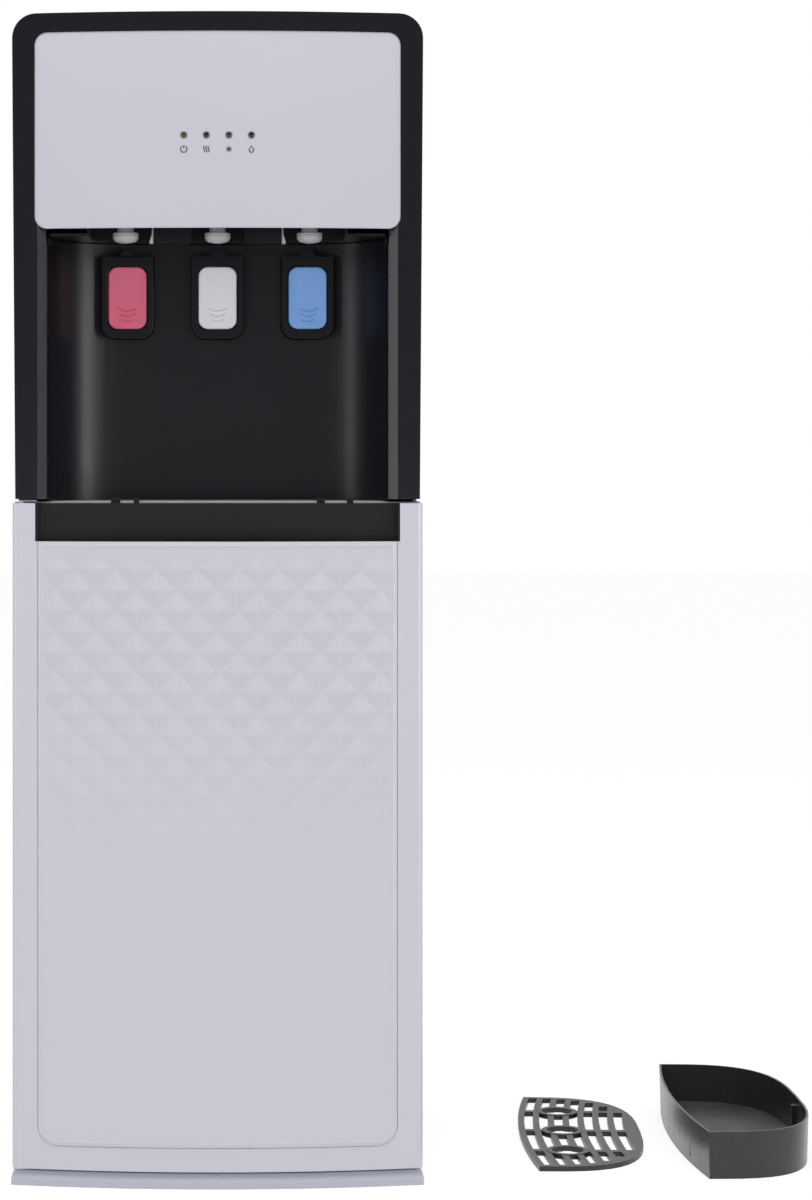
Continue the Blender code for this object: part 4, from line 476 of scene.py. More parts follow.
# Plastics and paints by slot: material, colour, roughness, mottle, spread, grain, relief, dust, wipes, shine
PLASTICS = {
    "white_plastic": ("moulded_white_plastic", (0.575, 0.573, 0.640), 0.36, 0.03, 0.08, 700.0, 0.00003, 0.10),
    # The plinth's white is darker as painted shade, where light falls off near the floor.
    "plinth_plastic": ("plinth_grey_white_plastic", (0.47, 0.48, 0.55),
                       0.40, 0.03, 0.08, 700.0, 0.00003, 0.15),
    "relief_plastic": ("relief_white_plastic", (0.575, 0.570, 0.637), 0.33, 0.03, 0.08, 800.0, 0.00002, 0.08),
    # The display's white is darker than the other whites: painted shade, offsetting the front lamp that
    # stands nearer to it.
    "display_plastic": ("display_white_plastic", (0.555, 0.547, 0.612),
                        0.30, 0.03, 0.06, 800.0, 0.00002, 0.08),
    "painted_sheet": ("painted_white_sheet", (0.60, 0.60, 0.655), 0.40, 0.03, 0.06, 330.0, 0.00006, 0.10),
    # The deck's sheet is darker than the other whites: painted shade, as the deck lies in the alcove's shade.
    "deck_sheet": ("painted_deck_sheet", (0.42, 0.42, 0.455), 0.40, 0.03, 0.06, 330.0, 0.00006, 0.10),
    "gloss_black": ("black_gloss_plastic", (0.0122, 0.0117, 0.0158),
                    0.20, 0.08, 0.07, 700.0, 0.00001, 0.06, 0.07, 0.3),
    "alcove_black": ("alcove_gloss_black", (0.0128, 0.0122, 0.0170),
                     0.33, 0.08, 0.07, 700.0, 0.00001, 0.06, 0.05, 0.28),
    "satin_black": ("black_satin_plastic", (0.0095, 0.0095, 0.0105),
                    0.46, 0.10, 0.12, 800.0, 0.00005, 0.12, 0.0, 0.35),
    "black_enamel": ("black_enamel", (0.012, 0.012, 0.013), 0.34, 0.10, 0.22, 210.0, 0.00008, 0.25),
    # The paddles' colours are made lighter as painted light, offsetting the shade of the alcove they sit in.
    "hot_red": ("hot_red_plastic", (0.79, 0.142, 0.240), 0.38, 0.05, 0.08, 900.0, 0.00003, 0.05),
    "room_white": ("room_white_plastic", (0.81, 0.80, 0.85), 0.38, 0.04, 0.08, 900.0, 0.00003, 0.05),
    "cold_blue": ("cold_blue_plastic", (0.212, 0.430, 0.87), 0.38, 0.05, 0.08, 900.0, 0.00003, 0.05),
    "tray_black": ("tray_gloss_black", (0.025, 0.025, 0.026), 0.26, 0.10, 0.10, 700.0, 0.00003, 0.20, 0.06),
    "grille_grey": ("grille_black_grey", (0.025, 0.025, 0.026), 0.34, 0.10, 0.10, 800.0, 0.00004, 0.20),
    "lamp_rim": ("lamp_rim_plastic", (0.22, 0.22, 0.21), 0.30, 0.10, 0.08, 900.0, 0.00001, 0.02),
}


def make_finishes():
    """Every finish by the record's slot name, and those of the fine parts."""
    return {slot: plastic(*values) for slot, values in PLASTICS.items()} | {
        "stainless": drawn_steel("drawn_stainless", (0.60, 0.60, 0.61), 0.34, (1.0, 1.0, 0.03)),
        "zinc": drawn_steel("zinc_screw", (0.55, 0.55, 0.53), 0.35, (1.0, 1.0, 1.0)),
        "galvanised": galvanised_sheet(),
        "foam": insulating_foam(),
        "circuit_board": circuit_board(),
        "smoky_clear": plastic("smoky_nozzle", (0.84, 0.85, 0.87), 0.20, 0.12, 0.16, 500.0, 0.00002,
                               Transmission_Weight=0.45, IOR=1.49),
        "milky_lens": plastic("milky_lens", (0.66, 0.67, 0.66), 0.30, 0.10, 0.10, 700.0, 0.00002,
                              Subsurface_Weight=0.4, Subsurface_Scale=0.002),
        "silicone": plastic("hose_silicone", (0.62, 0.64, 0.64), 0.35, 0.10, 0.12, 600.0, 0.00003,
                            Transmission_Weight=0.35),
        "lamp_olive": lamp_lens("lamp_olive_lens", (0.070, 0.072, 0.032)),
        "lamp_maroon": lamp_lens("lamp_maroon_lens", (0.050, 0.007, 0.013)),
        "lamp_teal": lamp_lens("lamp_teal_lens", (0.020, 0.048, 0.058)),
        "ink": printed_ink("printed_ink", (0.035, 0.035, 0.04)),
        "white_ink": printed_ink("white_ink", (0.70, 0.70, 0.70)),
    }


LOOKS = make_finishes()


# Mesh helpers


def shade(mesh, sharp_deg=35.0):
    mesh.shade_smooth()
    mesh.set_sharp_from_angle(angle=math.radians(sharp_deg))


def place(obj, body, look, stands_for=()):
    """Give a finished piece its material and its CAD body, and hide the nodes that it stands for."""
    obj.data.materials.clear()
    obj.data.materials.append(LOOKS[look])
    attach(obj, body)
    if stands_for:
        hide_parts(*stands_for)


def new_object(name, data):
    obj = bpy.data.objects.new(name, data)
    bpy.context.scene.collection.objects.link(obj)
    return obj


def piece_from(name, bm, sharp_deg=35.0):
    """Turn a bmesh into an object whose faces point outwards."""
    bmesh.ops.remove_doubles(bm, verts=bm.verts, dist=DOUBLES)
    bmesh.ops.recalc_face_normals(bm, faces=bm.faces)
    mesh = bpy.data.meshes.new(name)
    bm.to_mesh(mesh)
    bm.free()
    shade(mesh, sharp_deg)
    return new_object(name, mesh)


def applied(obj):
    """Replace an object's mesh by what its modifiers make of it, and drop them."""
    graph = bpy.context.evaluated_depsgraph_get()
    mesh = bpy.data.meshes.new_from_object(obj.evaluated_get(graph))
    obj.modifiers.clear()
    obj.data = mesh
    return obj


def carve(obj, low, high):
    """Cut a box out of a piece."""
    bm = bmesh.new()
    add_block(bm, low, high)
    tool = piece_from("carving_block", bm)
    cut = obj.modifiers.new("cut", "BOOLEAN")
    cut.operation, cut.solver, cut.object = "DIFFERENCE", "EXACT", tool
    applied(obj)
    bpy.data.objects.remove(tool)


def softened(node_name, width, body, look):
    """A copy of a CAD node, merged, with its hard edges rounded."""
    bm = bmesh.new()
    bm.from_mesh(frame["nodes"][node_name].data)
    bmesh.ops.remove_doubles(bm, verts=bm.verts, dist=CAD_DOUBLES)
    bmesh.ops.dissolve_limit(bm, angle_limit=math.radians(FLAT_DEG), verts=bm.verts, edges=bm.edges)
    obj = piece_from(node_name + "_moulding", bm, 40.0)
    for low, high in WINDOWS.get(node_name, ()):
        carve(obj, low, high)
    edge = obj.modifiers.new("edge", "BEVEL")
    edge.width, edge.segments, edge.use_clamp_overlap = width, 2, True
    edge.limit_method, edge.angle_limit = "ANGLE", math.radians(EDGE_DEG)
    obj.modifiers.new("flat", "WEIGHTED_NORMAL").keep_sharp = True
    place(applied(obj), body, look, (node_name,))


def bridge(bm, low, high, closed=True):
    """Quads between two rows of vertices."""
    count = len(low)
    for i in range(count if closed else count - 1):
        j = (i + 1) % count
        bm.faces.new((low[i], low[j], high[j], high[i]))


def loft(bm, rows, capped=False):
    """Quads between rows that each close on themselves, and a face over both ends."""
    for low, high in zip(rows, rows[1:]):
        bridge(bm, low, high)
    if capped:
        for row in (rows[0], rows[-1]):
            bm.faces.new(row)


def add_block(bm, low, high):
    """A closed box between two corners."""
    corners = [bm.verts.new((x, y, z)) for x in (low[0], high[0]) for y in (low[1], high[1])
               for z in (low[2], high[2])]
    for face in ((0, 1, 3, 2), (4, 6, 7, 5), (0, 4, 5, 1), (2, 3, 7, 6), (0, 2, 6, 4), (1, 5, 7, 3)):
        bm.faces.new([corners[i] for i in face])


def runs(points, closed=False):
    """The direction of a line at each of its points."""
    last = len(points) - 1
    for i, spot in enumerate(points):
        before = points[i - 1] if closed or i else spot
        after = points[(i + 1) % (last + 1)] if closed or i < last else spot
        yield (Vector(after) - Vector(before)).normalized()


def add_tube(bm, points, radius, across, steps=12):
    """A closed round tube along points that lie square to the direction across."""
    turns = [2 * math.pi * i / steps for i in range(steps)]
    rows = []
    for spot, along in zip(points, runs(points)):
        other = across.cross(along)
        rows.append([bm.verts.new(Vector(spot) + radius * (math.cos(t) * across + math.sin(t) * other))
                     for t in turns])
    loft(bm, rows, capped=True)


def turned(name, profile, centre, axis="Z", steps=40, sharp_deg=35.0, closed=False):
    """Revolve (radius, height) pairs; a radius of zero closes an end."""
    bm = bmesh.new()
    rows = []
    for radius, height in profile:
        row = []
        for i in range(steps if radius else 1):
            turn = 2 * math.pi * i / steps
            a, b = radius * math.cos(turn), radius * math.sin(turn)
            offset = (a, height, b) if axis == "Y" else (a, b, height)
            row.append(bm.verts.new([c + o for c, o in zip(centre, offset)]))
        rows.append(row)
    pairs = list(zip(rows, rows[1:])) + ([(rows[-1], rows[0])] if closed else [])
    for low, high in pairs:
        if len(low) == len(high):
            bridge(bm, low, high)
            continue
        tip, ring = (low[0], high) if len(low) == 1 else (high[0], low)
        for i in range(steps):
            bm.faces.new((tip, ring[i], ring[(i + 1) % steps]))
    return piece_from(name, bm, sharp_deg)


def arc(centre, radius, start_deg, end_deg, steps):
    turns = [math.radians(start_deg + (end_deg - start_deg) * i / steps) for i in range(steps + 1)]
    return [(centre[0] + radius * math.cos(t), centre[1] + radius * math.sin(t)) for t in turns]


def quarter(steps):
    return [math.pi / 2 * i / steps for i in range(steps + 1)]


def rounded_edge(radius, steps=5):
    """Inset and depth along a rounded front edge, from the wall to the face."""
    return [(radius * (1 - math.cos(t)), radius * (1 - math.sin(t))) for t in quarter(steps)[1:]]


def front_y(x, inset=0.0):
    """The bowed front of the cabinet, set back by inset."""
    return FRONT_Y + inset + BOW_RADIUS - math.sqrt(BOW_RADIUS ** 2 - x ** 2)


# Geometry Nodes helpers


SOCKETS = {float: "Float", int: "Int", tuple: "Vector", bpy.types.Material: "Material",
           bpy.types.Object: "Object"}


def new_tree(name, values):
    """A Geometry Nodes tree with an input for each value; returns it with its inputs by name, and its end."""
    tree = bpy.data.node_groups.new(name, "GeometryNodeTree")
    tree.interface.new_socket("Geometry", in_out="INPUT", socket_type="NodeSocketGeometry")
    for label, value in values.items():
        tree.interface.new_socket(label, in_out="INPUT", socket_type="NodeSocket" + SOCKETS[type(value)])
    tree.interface.new_socket("Geometry", in_out="OUTPUT", socket_type="NodeSocketGeometry")
    given = fields(tree, tree.nodes.new("NodeGroupInput").outputs[:-1])
    given = SimpleNamespace(**{label.lower().replace(" ", "_"): field for label, field in given.items()})
    return tree, given, tree.nodes.new("NodeGroupOutput").inputs[0]


def finish_tree(tree, geometry, look, out):
    """End a tree as every tree here ends: real geometry with its material."""
    real = add_node(tree, "GeometryNodeRealizeInstances", Geometry=geometry).outputs[0]
    feed(tree, out, add_node(tree, "GeometryNodeSetMaterial", Geometry=real, Material=look).outputs[0])
    return tree


def grown(name, make_tree, values, places=(), sharp_deg=35.0):
    """Run a tree on a mesh of bare points with these inputs, and keep the mesh that it makes."""
    tree = make_tree(values)
    start = bpy.data.meshes.new(name)
    start.from_pydata([p for p, _ in places], [], [])
    if places:
        facing = start.attributes.new("facing", "FLOAT_VECTOR", "POINT")
        facing.data.foreach_set("vector", [c for _, d in places for c in d])
    obj = new_object(name, start)
    step = obj.modifiers.new("grow", "NODES")
    step.node_group = tree
    ids = {s.name: s.identifier for s in tree.interface.items_tree if s.in_out == "INPUT"}
    for label, value in values.items():
        step[ids[label]] = value
    applied(obj)
    shade(obj.data, sharp_deg)
    return obj


# Door relief: a grid that is bent to the bow, rounded at its rim and pressed into diamonds


def relief_tree(values):
    """Grid columns follow the panel's outline; heights follow the bow, the rim and the diamonds."""
    tree, given, out = new_tree("pressed_relief", values)
    grid = add_node(tree, "GeometryNodeMeshGrid", Size_X=2.0, Size_Y=1.0, Vertices_X=given.columns,
                    Vertices_Y=given.rows).outputs[0]
    spot = add_node(tree, "GeometryNodeInputPosition").outputs[0]
    flat = fields(tree, add_node(tree, "ShaderNodeSeparateXYZ", Vector=spot).outputs)
    # Rows and columns crowd together towards the panel's edges, where its rim and bead turn sharply
    across, up = (way * ((1.0 - way * way) * given.crowding + 1.0) for way in (flat["X"], flat["Y"] * 2.0))
    x = across * given.half_width
    past = (abs(x) - (given.half_width - given.corner)).at_least(0.0)
    lift = given.corner - (given.corner * given.corner - past * past).at_least(0.0).root()
    low = given.bottom + lift
    z = (given.top - low) * (up * 0.5 + 0.5) + low
    bow = given.bow_radius - (given.bow_radius * given.bow_radius - x * x).root()

    column = x / given.diamond_width
    row = (z - given.top_row) / given.diamond_height
    offsets = [abs(along - calc(tree, "ROUND", along)) for along in (column + row + 0.5, column - row + 0.5)]
    pyramid = 1.0 - calc(tree, "SMOOTH_MAX", *offsets, given.softness) * 2.0
    to_side, to_top = given.half_width - abs(x), given.top - z
    strength = (ranged(tree, z, given.fade_low, given.fade_high)
                * ranged(tree, to_side, given.edge, given.margin)
                * ranged(tree, to_top, given.head_start, given.head_end))
    rise = (pyramid - 0.5) * strength * given.rise

    to_rim = to_side.at_most(z - low).at_most(to_top)
    away = 1.0 - (to_rim / given.edge).at_most(1.0)
    rim = (1.0 - (1.0 - away * away).at_least(0.0).root()) * given.depth
    half_bead = given.bead_width * 0.5
    off_bead = abs(to_rim - (given.edge + half_bead))
    rim = rim - ranged(tree, off_bead, half_bead, 0.0, "SMOOTHSTEP") * given.bead
    y = given.front + bow + (rim - rise)
    spot = add_node(tree, "ShaderNodeCombineXYZ", X=x, Y=y, Z=z).outputs[0]
    pressed = add_node(tree, "GeometryNodeSetPosition", Geometry=grid, Position=spot).outputs[0]
    return finish_tree(tree, pressed, given.look, out)


def close_back(bm, columns, rows):
    """Give the pressed grid its wall and a plain back."""
    bm.verts.ensure_lookup_table()
    front = [[bm.verts[i * rows + j] for j in range(rows)] for i in range(columns)]
    left, right = front[0], front[-1]
    border = [column[0] for column in front] + right[1:]
    border += [column[-1] for column in front[-2::-1]] + left[-2:0:-1]
    behind = {v: bm.verts.new(v.co + Vector((0.0, RELIEF_WALL, 0.0))) for v in border}
    bridge(bm, border, [behind[v] for v in border])
    for i in range(1, columns - 2):
        near, far = front[i], front[i + 1]
        bm.faces.new([behind[v] for v in (near[0], far[0], far[-1], near[-1])])
    bm.faces.new([behind[v] for v in left + [front[1][-1], front[1][0]]])
    bm.faces.new([behind[v] for v in right + [front[-2][-1], front[-2][0]]])


def relief_door_panel():
    """The white front of the door, standing a little proud, with diamonds that fade downwards."""
    low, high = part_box("door_panel")
    skin = grown("relief_door_panel", relief_tree, {
        "Half Width": high.x, "Bottom": low.z, "Top": high.z, "Corner": RELIEF_CORNER,
        "Front": FRONT_Y - RELIEF_PROUD, "Bow Radius": BOW_RADIUS, "Depth": RELIEF_PROUD, "Edge": RELIEF_EDGE,
        "Diamond Width": DIAMOND_WIDTH, "Diamond Height": DIAMOND_HEIGHT, "Top Row": DIAMOND_TOP_ROW,
        "Rise": DIAMOND_RISE, "Fade Low": DIAMOND_FADE_LOW, "Fade High": DIAMOND_FADE_HIGH,
        "Margin": RELIEF_MARGIN, "Head Start": RELIEF_HEAD_START, "Head End": RELIEF_HEAD_END,
        "Softness": DIAMOND_SOFTNESS, "Bead": RELIEF_BEAD, "Bead Width": RELIEF_BEAD_WIDTH,
        "Crowding": RELIEF_CROWDING, "Columns": RELIEF_COLUMNS, "Rows": RELIEF_ROWS,
        "Look": LOOKS["relief_plastic"],
    }, sharp_deg=60.0)
    bm = bmesh.new()
    bm.from_mesh(skin.data)
    close_back(bm, RELIEF_COLUMNS, RELIEF_ROWS)
    bmesh.ops.recalc_face_normals(bm, faces=bm.faces)
    bm.to_mesh(skin.data)
    bm.free()
    shade(skin.data, 60.0)
    place(skin, "door", "relief_plastic", ("door_panel",))


# Display, lamps and pictograms


def plate_rows(half, low, high, corner, inset, steps=10, spans=24):
    """Bottom and top edge points of a rounded rectangle, in matching columns from left to right."""
    half, low, high, corner = half - inset, low + inset, high - inset, corner - inset
    flat = half - corner
    left = [(-flat - corner * math.cos(t), corner * (1 - math.sin(t))) for t in quarter(steps)]
    middle = [(-flat + 2 * flat * i / spans, 0.0) for i in range(1, spans)]
    columns = left + middle + [(-x, rise) for x, rise in reversed(left)]
    return [(x, low + rise) for x, rise in columns], [(x, high - rise) for x, rise in columns]


def bowed_plate(name, half, low, high, corner, front, thickness, edge):
    """A plate that follows the bow, with a rounded front edge and a plain back."""
    bm = bmesh.new()
    rings = []
    for inset, depth in [(0.0, thickness), (0.0, edge)] + rounded_edge(edge):
        rings.append([[bm.verts.new((x, front_y(x, front + depth), z)) for x, z in row]
                      for row in plate_rows(half, low, high, corner, inset)])
    loft(bm, [bottom + top[::-1] for bottom, top in rings])
    for bottom, top in (rings[0], rings[-1]):
        bridge(bm, bottom, top, closed=False)
    return piece_from(name, bm, 50.0)


def display_face():
    low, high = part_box("display_panel")
    plate = bowed_plate("display_face", high.x, low.z, high.z, DISPLAY_CORNER, DISPLAY_SETBACK,
                        high.y - low.y - FRONT_BOW, DISPLAY_EDGE)
    place(plate, "cabinet", "display_plastic", ("display_panel",))


def lamp_lenses():
    """A dome for each lamp in a thin raised rim."""
    for node, look in (("lamp_power", "lamp_olive"), ("lamp_hot", "lamp_maroon"),
                       ("lamp_cold", "lamp_teal"), ("lamp_water", "lamp_maroon")):
        low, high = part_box(node)
        middle = (low + high) / 2
        centre = (middle.x, 0.0, middle.z)
        radius = (high.x - low.x) / 2
        face = front_y(middle.x, DISPLAY_SETBACK)
        dome = [(radius * math.sin(t), face - radius * DOME_RISE * math.cos(t)) for t in quarter(7)]
        lens = turned(node + "_lens", dome + [(radius, high.y), (0.0, high.y)], centre, "Y", 32)
        place(lens, "cabinet", look, (node,))
        inner, outer = radius * LENS_PLAY, radius + LAMP_RIM
        ring = [(inner, face + LAMP_RIM / 2)]
        ring += [(x, face - y) for x, y in arc(((inner + outer) / 2, 0.0), (outer - inner) / 2, 180, 0, 6)]
        ring.append((outer, face + LAMP_RIM / 2))
        place(turned(node + "_rim", ring, centre, "Y", 32, closed=True), "cabinet", "lamp_rim")


def stroke(bm, points, width, put, closed=False):
    """A flat printed line through points; put gives the spot on the face for x, z and lift."""
    rows = []
    for (x, z), along in zip(points, runs(points, closed)):
        rows.append([bm.verts.new(put(x - along.y * side * width / 2, z + along.x * side * width / 2, lift))
                     for side, lift in ((1, 0.0), (1, PRINT_LIFT), (-1, PRINT_LIFT), (-1, 0.0))])
    loft(bm, rows + rows[:1] if closed else rows, capped=not closed)


def pictograms():
    """Plain signs under the lamps: a switch ring, steam, a frost star and a drop."""
    size, half = PICTOGRAM_SIZE, PICTOGRAM_SIZE / 2
    steam = [(half * 0.17 * math.sin(i / 5 * math.pi), size * (i / 10 - 0.5)) for i in range(11)]
    spokes = [(half * math.cos(a), half * math.sin(a)) for a in (math.radians(90 + 60 * i) for i in range(3))]
    signs = {
        "lamp_power": [(arc((0, 0), half, 120, 420, 18), False),
                       ([(0, half * 0.2), (0, half * 1.25)], False)],
        "lamp_hot": [([(half * aside + x, z) for x, z in steam], False) for aside in (-0.7, 0.0, 0.7)],
        "lamp_cold": [([(-x, -z), (x, z)], False) for x, z in spokes],
        "lamp_water": [(arc((0, -half * 0.3), half * 0.7, 150, 390, 16) + [(0.0, half * 1.1)], True)],
    }
    for node, lines in signs.items():
        low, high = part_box(node)
        centre = (low + high) / 2

        def put(x, z, lift):
            x += centre.x
            return x, front_y(x, DISPLAY_SETBACK) - lift, centre.z - PICTOGRAM_DROP + z

        bm = bmesh.new()
        for points, closed in lines:
            stroke(bm, points, PICTOGRAM_LINE, put, closed)
        place(piece_from(node + "_sign", bm), "cabinet", "ink")


# Finishes of the CAD nodes that stay


def finish_kept_nodes():
    """Every node takes the finish of its material slot, or its own within it."""
    for part in frame["record"]["subparts"]:
        look = OWN_LOOKS.get(part["node"], part["material_slot"])
        for slot in frame["nodes"][part["node"]].material_slots:
            slot.material = LOOKS[look]


# Nodes with a finish of their own within their slot: the plinth and the deck take darker whites as painted
# shade
OWN_LOOKS = {"base_plinth": "plinth_plastic", "alcove_wall": "alcove_black", "cabinet_deck": "deck_sheet"}

# Boxes carved out of a piece: the tap pocket's front wall ends at the display, so that the nozzles show
WINDOWS = {"tap_housing": (((-0.1118, -0.1635, 0.8300), (0.1118, -0.1598, 0.8396)),)}

SOFT_NODES = {
    "door_shell": SOFT_EDGE, "head_bezel": SOFT_EDGE, "base_plinth": FINE_EDGE, "door_handle": FINE_EDGE,
    "surround_hot": SOFT_EDGE, "surround_room": SOFT_EDGE, "surround_cold": SOFT_EDGE,
    "tap_housing": FINE_EDGE, "cabinet_deck": FINE_EDGE, "tray_locator": FINE_EDGE,
    "drip_tray": FINE_EDGE, "drip_grille": FINE_EDGE, "top_cover": FINE_EDGE, "alcove_wall": FINE_EDGE,
    "head_side_left": FINE_EDGE, "head_side_right": FINE_EDGE, "head_rear_panel": FINE_EDGE,
    "side_panel_left": FINE_EDGE, "side_panel_right": FINE_EDGE, "door_liner": FINE_EDGE,
}


def soften_edges():
    """Moulded and folded pieces get their real small edge radii."""
    slots = {part["node"]: part["material_slot"] for part in frame["record"]["subparts"]}
    for node, width in SOFT_NODES.items():
        body, look = frame["nodes"][node]["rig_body"], OWN_LOOKS.get(node, slots[node])
        softened(node, width, body, look)


# Paddles, nozzles and the pegs' hooks


def rounded_loop(half_x, half_z, corner, steps=8):
    """A rounded rectangle about the origin, as points in one turn."""
    loop = []
    for sx, sz, start in ((1, 1, 0), (-1, 1, 90), (-1, -1, 180), (1, -1, 270)):
        centre = (sx * (half_x - corner), sz * (half_z - corner))
        loop += arc(centre, corner, start, start + 90, steps)
    return loop


def paddle(node, body, look):
    """A dished plate with a rounded rim and three raised smiles, its black pivot pin and its push rib."""
    low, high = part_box(node)
    x_middle, z_middle = (low.x + high.x) / 2, (low.z + high.z) / 2
    half_z = (high.z - low.z) / 2
    face = low.y + SMILE_RISE
    bm = bmesh.new()

    def surface(x, z):
        aside, along = min(abs(x) / PADDLE_HALF, 1.0), min(abs(z) / half_z, 1.0)
        return face + PADDLE_DISH * (1 - aside ** 4) * (1 - along ** 2)

    def outline(inset):
        return rounded_loop(PADDLE_HALF - inset, half_z - inset, PADDLE_CORNER - inset)

    stages = [(SOFT_EDGE / 2, PADDLE_THICKNESS), (0.0, PADDLE_THICKNESS - SOFT_EDGE / 2), (0.0, PADDLE_RIM)]
    rows = [[bm.verts.new((x_middle + x, face + depth, z_middle + z)) for x, z in outline(inset)]
            for inset, depth in stages + rounded_edge(PADDLE_RIM)]
    for share in (0.92, 0.75, 0.5, 0.25):
        rows.append([bm.verts.new((x_middle + x * share, surface(x * share, z * share), z_middle + z * share))
                     for x, z in outline(PADDLE_RIM)])
    loft(bm, rows, capped=True)
    for i in range(3):
        radius = SMILE_RADIUS - i * SMILE_SHRINK
        z_centre = -half_z + SMILE_LIFT + (2 - i) * SMILE_STEP + radius
        raised_line(bm, arc((0.0, z_centre), radius, 270 - SMILE_SPAN_DEG, 270 + SMILE_SPAN_DEG, 16),
                    surface, x_middle, z_middle)
    pivot = next(j["pos_m"] for j in frame["record"]["behaviour"]["joints"] if j["child"] == body)
    pin = bmesh.new()
    add_tube(pin, [(x, pivot[1], pivot[2]) for x in (low.x, high.x)], PIVOT_RADIUS,
             Vector((0.0, 0.0, 1.0)), 16)
    place(piece_from(node + "_pin", pin), body, "satin_black")
    back = face + PADDLE_THICKNESS
    add_block(bm, (x_middle - RIB_HALF, back - SOFT_EDGE / 2, low.z + PADDLE_CORNER),
              (x_middle + RIB_HALF, back + RIB_DEPTH, pivot[2]))
    place(piece_from(node + "_plate", bm, 42.0), body, look, (node,))


def raised_line(bm, points, surface, x_middle, z_middle, steps=6):
    """A rounded ridge along points, tapered at its ends, on a surface that gives y from x and z."""
    rows = []
    for i, ((x, z), along) in enumerate(zip(points, runs(points))):
        ends = min(i, len(points) - 1 - i) / 3
        size = math.sin(math.pi / 2 * min(ends + 0.12, 1.0))
        row = []
        for turn in (math.pi * k / steps for k in range(steps + 1)):
            aside = SMILE_WIDTH / 2 * size * math.cos(turn)
            px, pz = x - along.y * aside, z + along.x * aside
            lift = SMILE_HEIGHT * size * math.sin(turn) - PRINT_LIFT
            row.append(bm.verts.new((x_middle + px, surface(px, pz) - lift, z_middle + pz)))
        rows.append(row)
    loft(bm, rows, capped=True)


def nozzle(node):
    """A translucent cup with a lip and a groove, hung on its neck, with a bored outlet."""
    low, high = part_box(node)
    radius = (high.x - low.x) / 2
    base = low.z
    outlet = [(0.0, base + OUTLET_DEPTH), (OUTLET_RADIUS, base + OUTLET_DEPTH),
              (OUTLET_RADIUS, base + OUTLET_EASE), (OUTLET_RADIUS + OUTLET_EASE, base)]
    belly = [(radius - BELLY_STEP * (1 - math.sin(t)), base + BELLY_FOOT + BELLY_RISE * (1 - math.cos(t)))
             for t in quarter(8)]
    lip = [(radius - step, base + height) for step, height in LIP]
    shoulder = base + LIP[-1][1]
    neck = [(NECK_RADIUS + NECK_FILLET, shoulder), (NECK_RADIUS, shoulder + NECK_FILLET),
            (NECK_RADIUS, high.z), (0.0, high.z)]
    centre = ((low.x + high.x) / 2, (low.y + high.y) / 2, 0.0)
    cup = turned(node + "_cup", outlet + belly + lip + neck, centre, "Z", 48)
    place(cup, "cabinet", "smoky_clear", (node,))


def peg_hooks():
    """Black hooks that hold the tray's pegs over the deck's front edge."""
    deck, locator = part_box("cabinet_deck")[0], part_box("tray_locator")[1]
    bm = bmesh.new()
    for x, half in PEGS:
        front, low, top = deck.y - HOOK_THICKNESS, locator.z - 2 * HOOK_REACH, locator.z
        add_block(bm, (x - half, front, low - HOOK_REACH / 2), (x + half, deck.y - GLUE_GAP, top))
        add_block(bm, (x - half, deck.y - GLUE_GAP, top - HOOK_REACH), (x + half, deck.y + HOOK_DEPTH, top))
    place(piece_from("peg_hooks", bm), "cabinet", "satin_black")


def panel_seals():
    """Strips that close the slot between the side panels and the sloping shoulder of the base."""
    (_, front, low), (outer, back, _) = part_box("side_panel_right")
    bm = bmesh.new()
    for side in (-1, 1):
        near, far = sorted((side * (outer - SEAL_WIDTH), side * (outer - FINE_EDGE)))
        add_block(bm, (near, front + FINE_EDGE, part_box("base_plinth")[1].z - SEAL_DROP),
                  (far, back - FINE_EDGE, low - GLUE_GAP))
    # The seals take the plinth's darker white, its painted shade.
    place(piece_from("panel_seals", bm), "cabinet", "plinth_plastic")


# The back: condenser, screws and the marks on the rockers


def condenser_tube():
    """One tube to and fro up the back, in round bends."""
    low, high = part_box("condenser_coil")
    radius, y, bend = (high.y - low.y) / 2, (low.y + high.y) / 2, COIL_PITCH / 2
    bends = round((high.z - low.z - 2 * radius) / COIL_PITCH)
    bottom = low.z + radius
    path = [(-COIL_HALF, bottom)]
    for i in range(bends):
        side, start = (1, -90) if i % 2 == 0 else (-1, 270)
        path += arc((side * COIL_HALF, bottom + bend + i * COIL_PITCH), bend, start, 90, 14)
    path.append((COIL_HALF if bends % 2 == 0 else -COIL_HALF, bottom + bends * COIL_PITCH))
    bm = bmesh.new()
    add_tube(bm, [(x, y, z) for x, z in path], radius, Vector((0.0, 1.0, 0.0)))
    place(piece_from("condenser_tube", bm), "cabinet", "black_enamel", ("condenser_coil",))


def wires_tree(values):
    """Upright wires in a row, as on a wire-and-tube condenser."""
    tree, given, out = new_tree("upright_wires", values)
    step = add_node(tree, "ShaderNodeCombineXYZ", X=given.pitch).outputs[0]
    row = add_node(tree, "GeometryNodeMeshLine", Count=given.count, Start_Location=given.start, Offset=step)
    wire = add_node(tree, "GeometryNodeMeshCylinder", Vertices=8, Radius=given.radius, Depth=given.length)
    wires = add_node(tree, "GeometryNodeInstanceOnPoints", Points=row.outputs[0], Instance=wire.outputs[0])
    return finish_tree(tree, wires.outputs[0], given.look, out)


def condenser_wires():
    low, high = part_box("condenser_coil")
    count = int((high.x - low.x - 2 * WIRE_END) / WIRE_PITCH) + 1
    start = (-(count - 1) * WIRE_PITCH / 2, high.y + WIRE_RADIUS * 0.7, (low.z + high.z) / 2)
    wires = grown("condenser_wires", wires_tree, {
        "Count": count, "Pitch": WIRE_PITCH, "Radius": WIRE_RADIUS, "Length": high.z - low.z + 2 * WIRE_END,
        "Start": start, "Look": LOOKS["black_enamel"],
    })
    place(wires, "cabinet", "black_enamel")


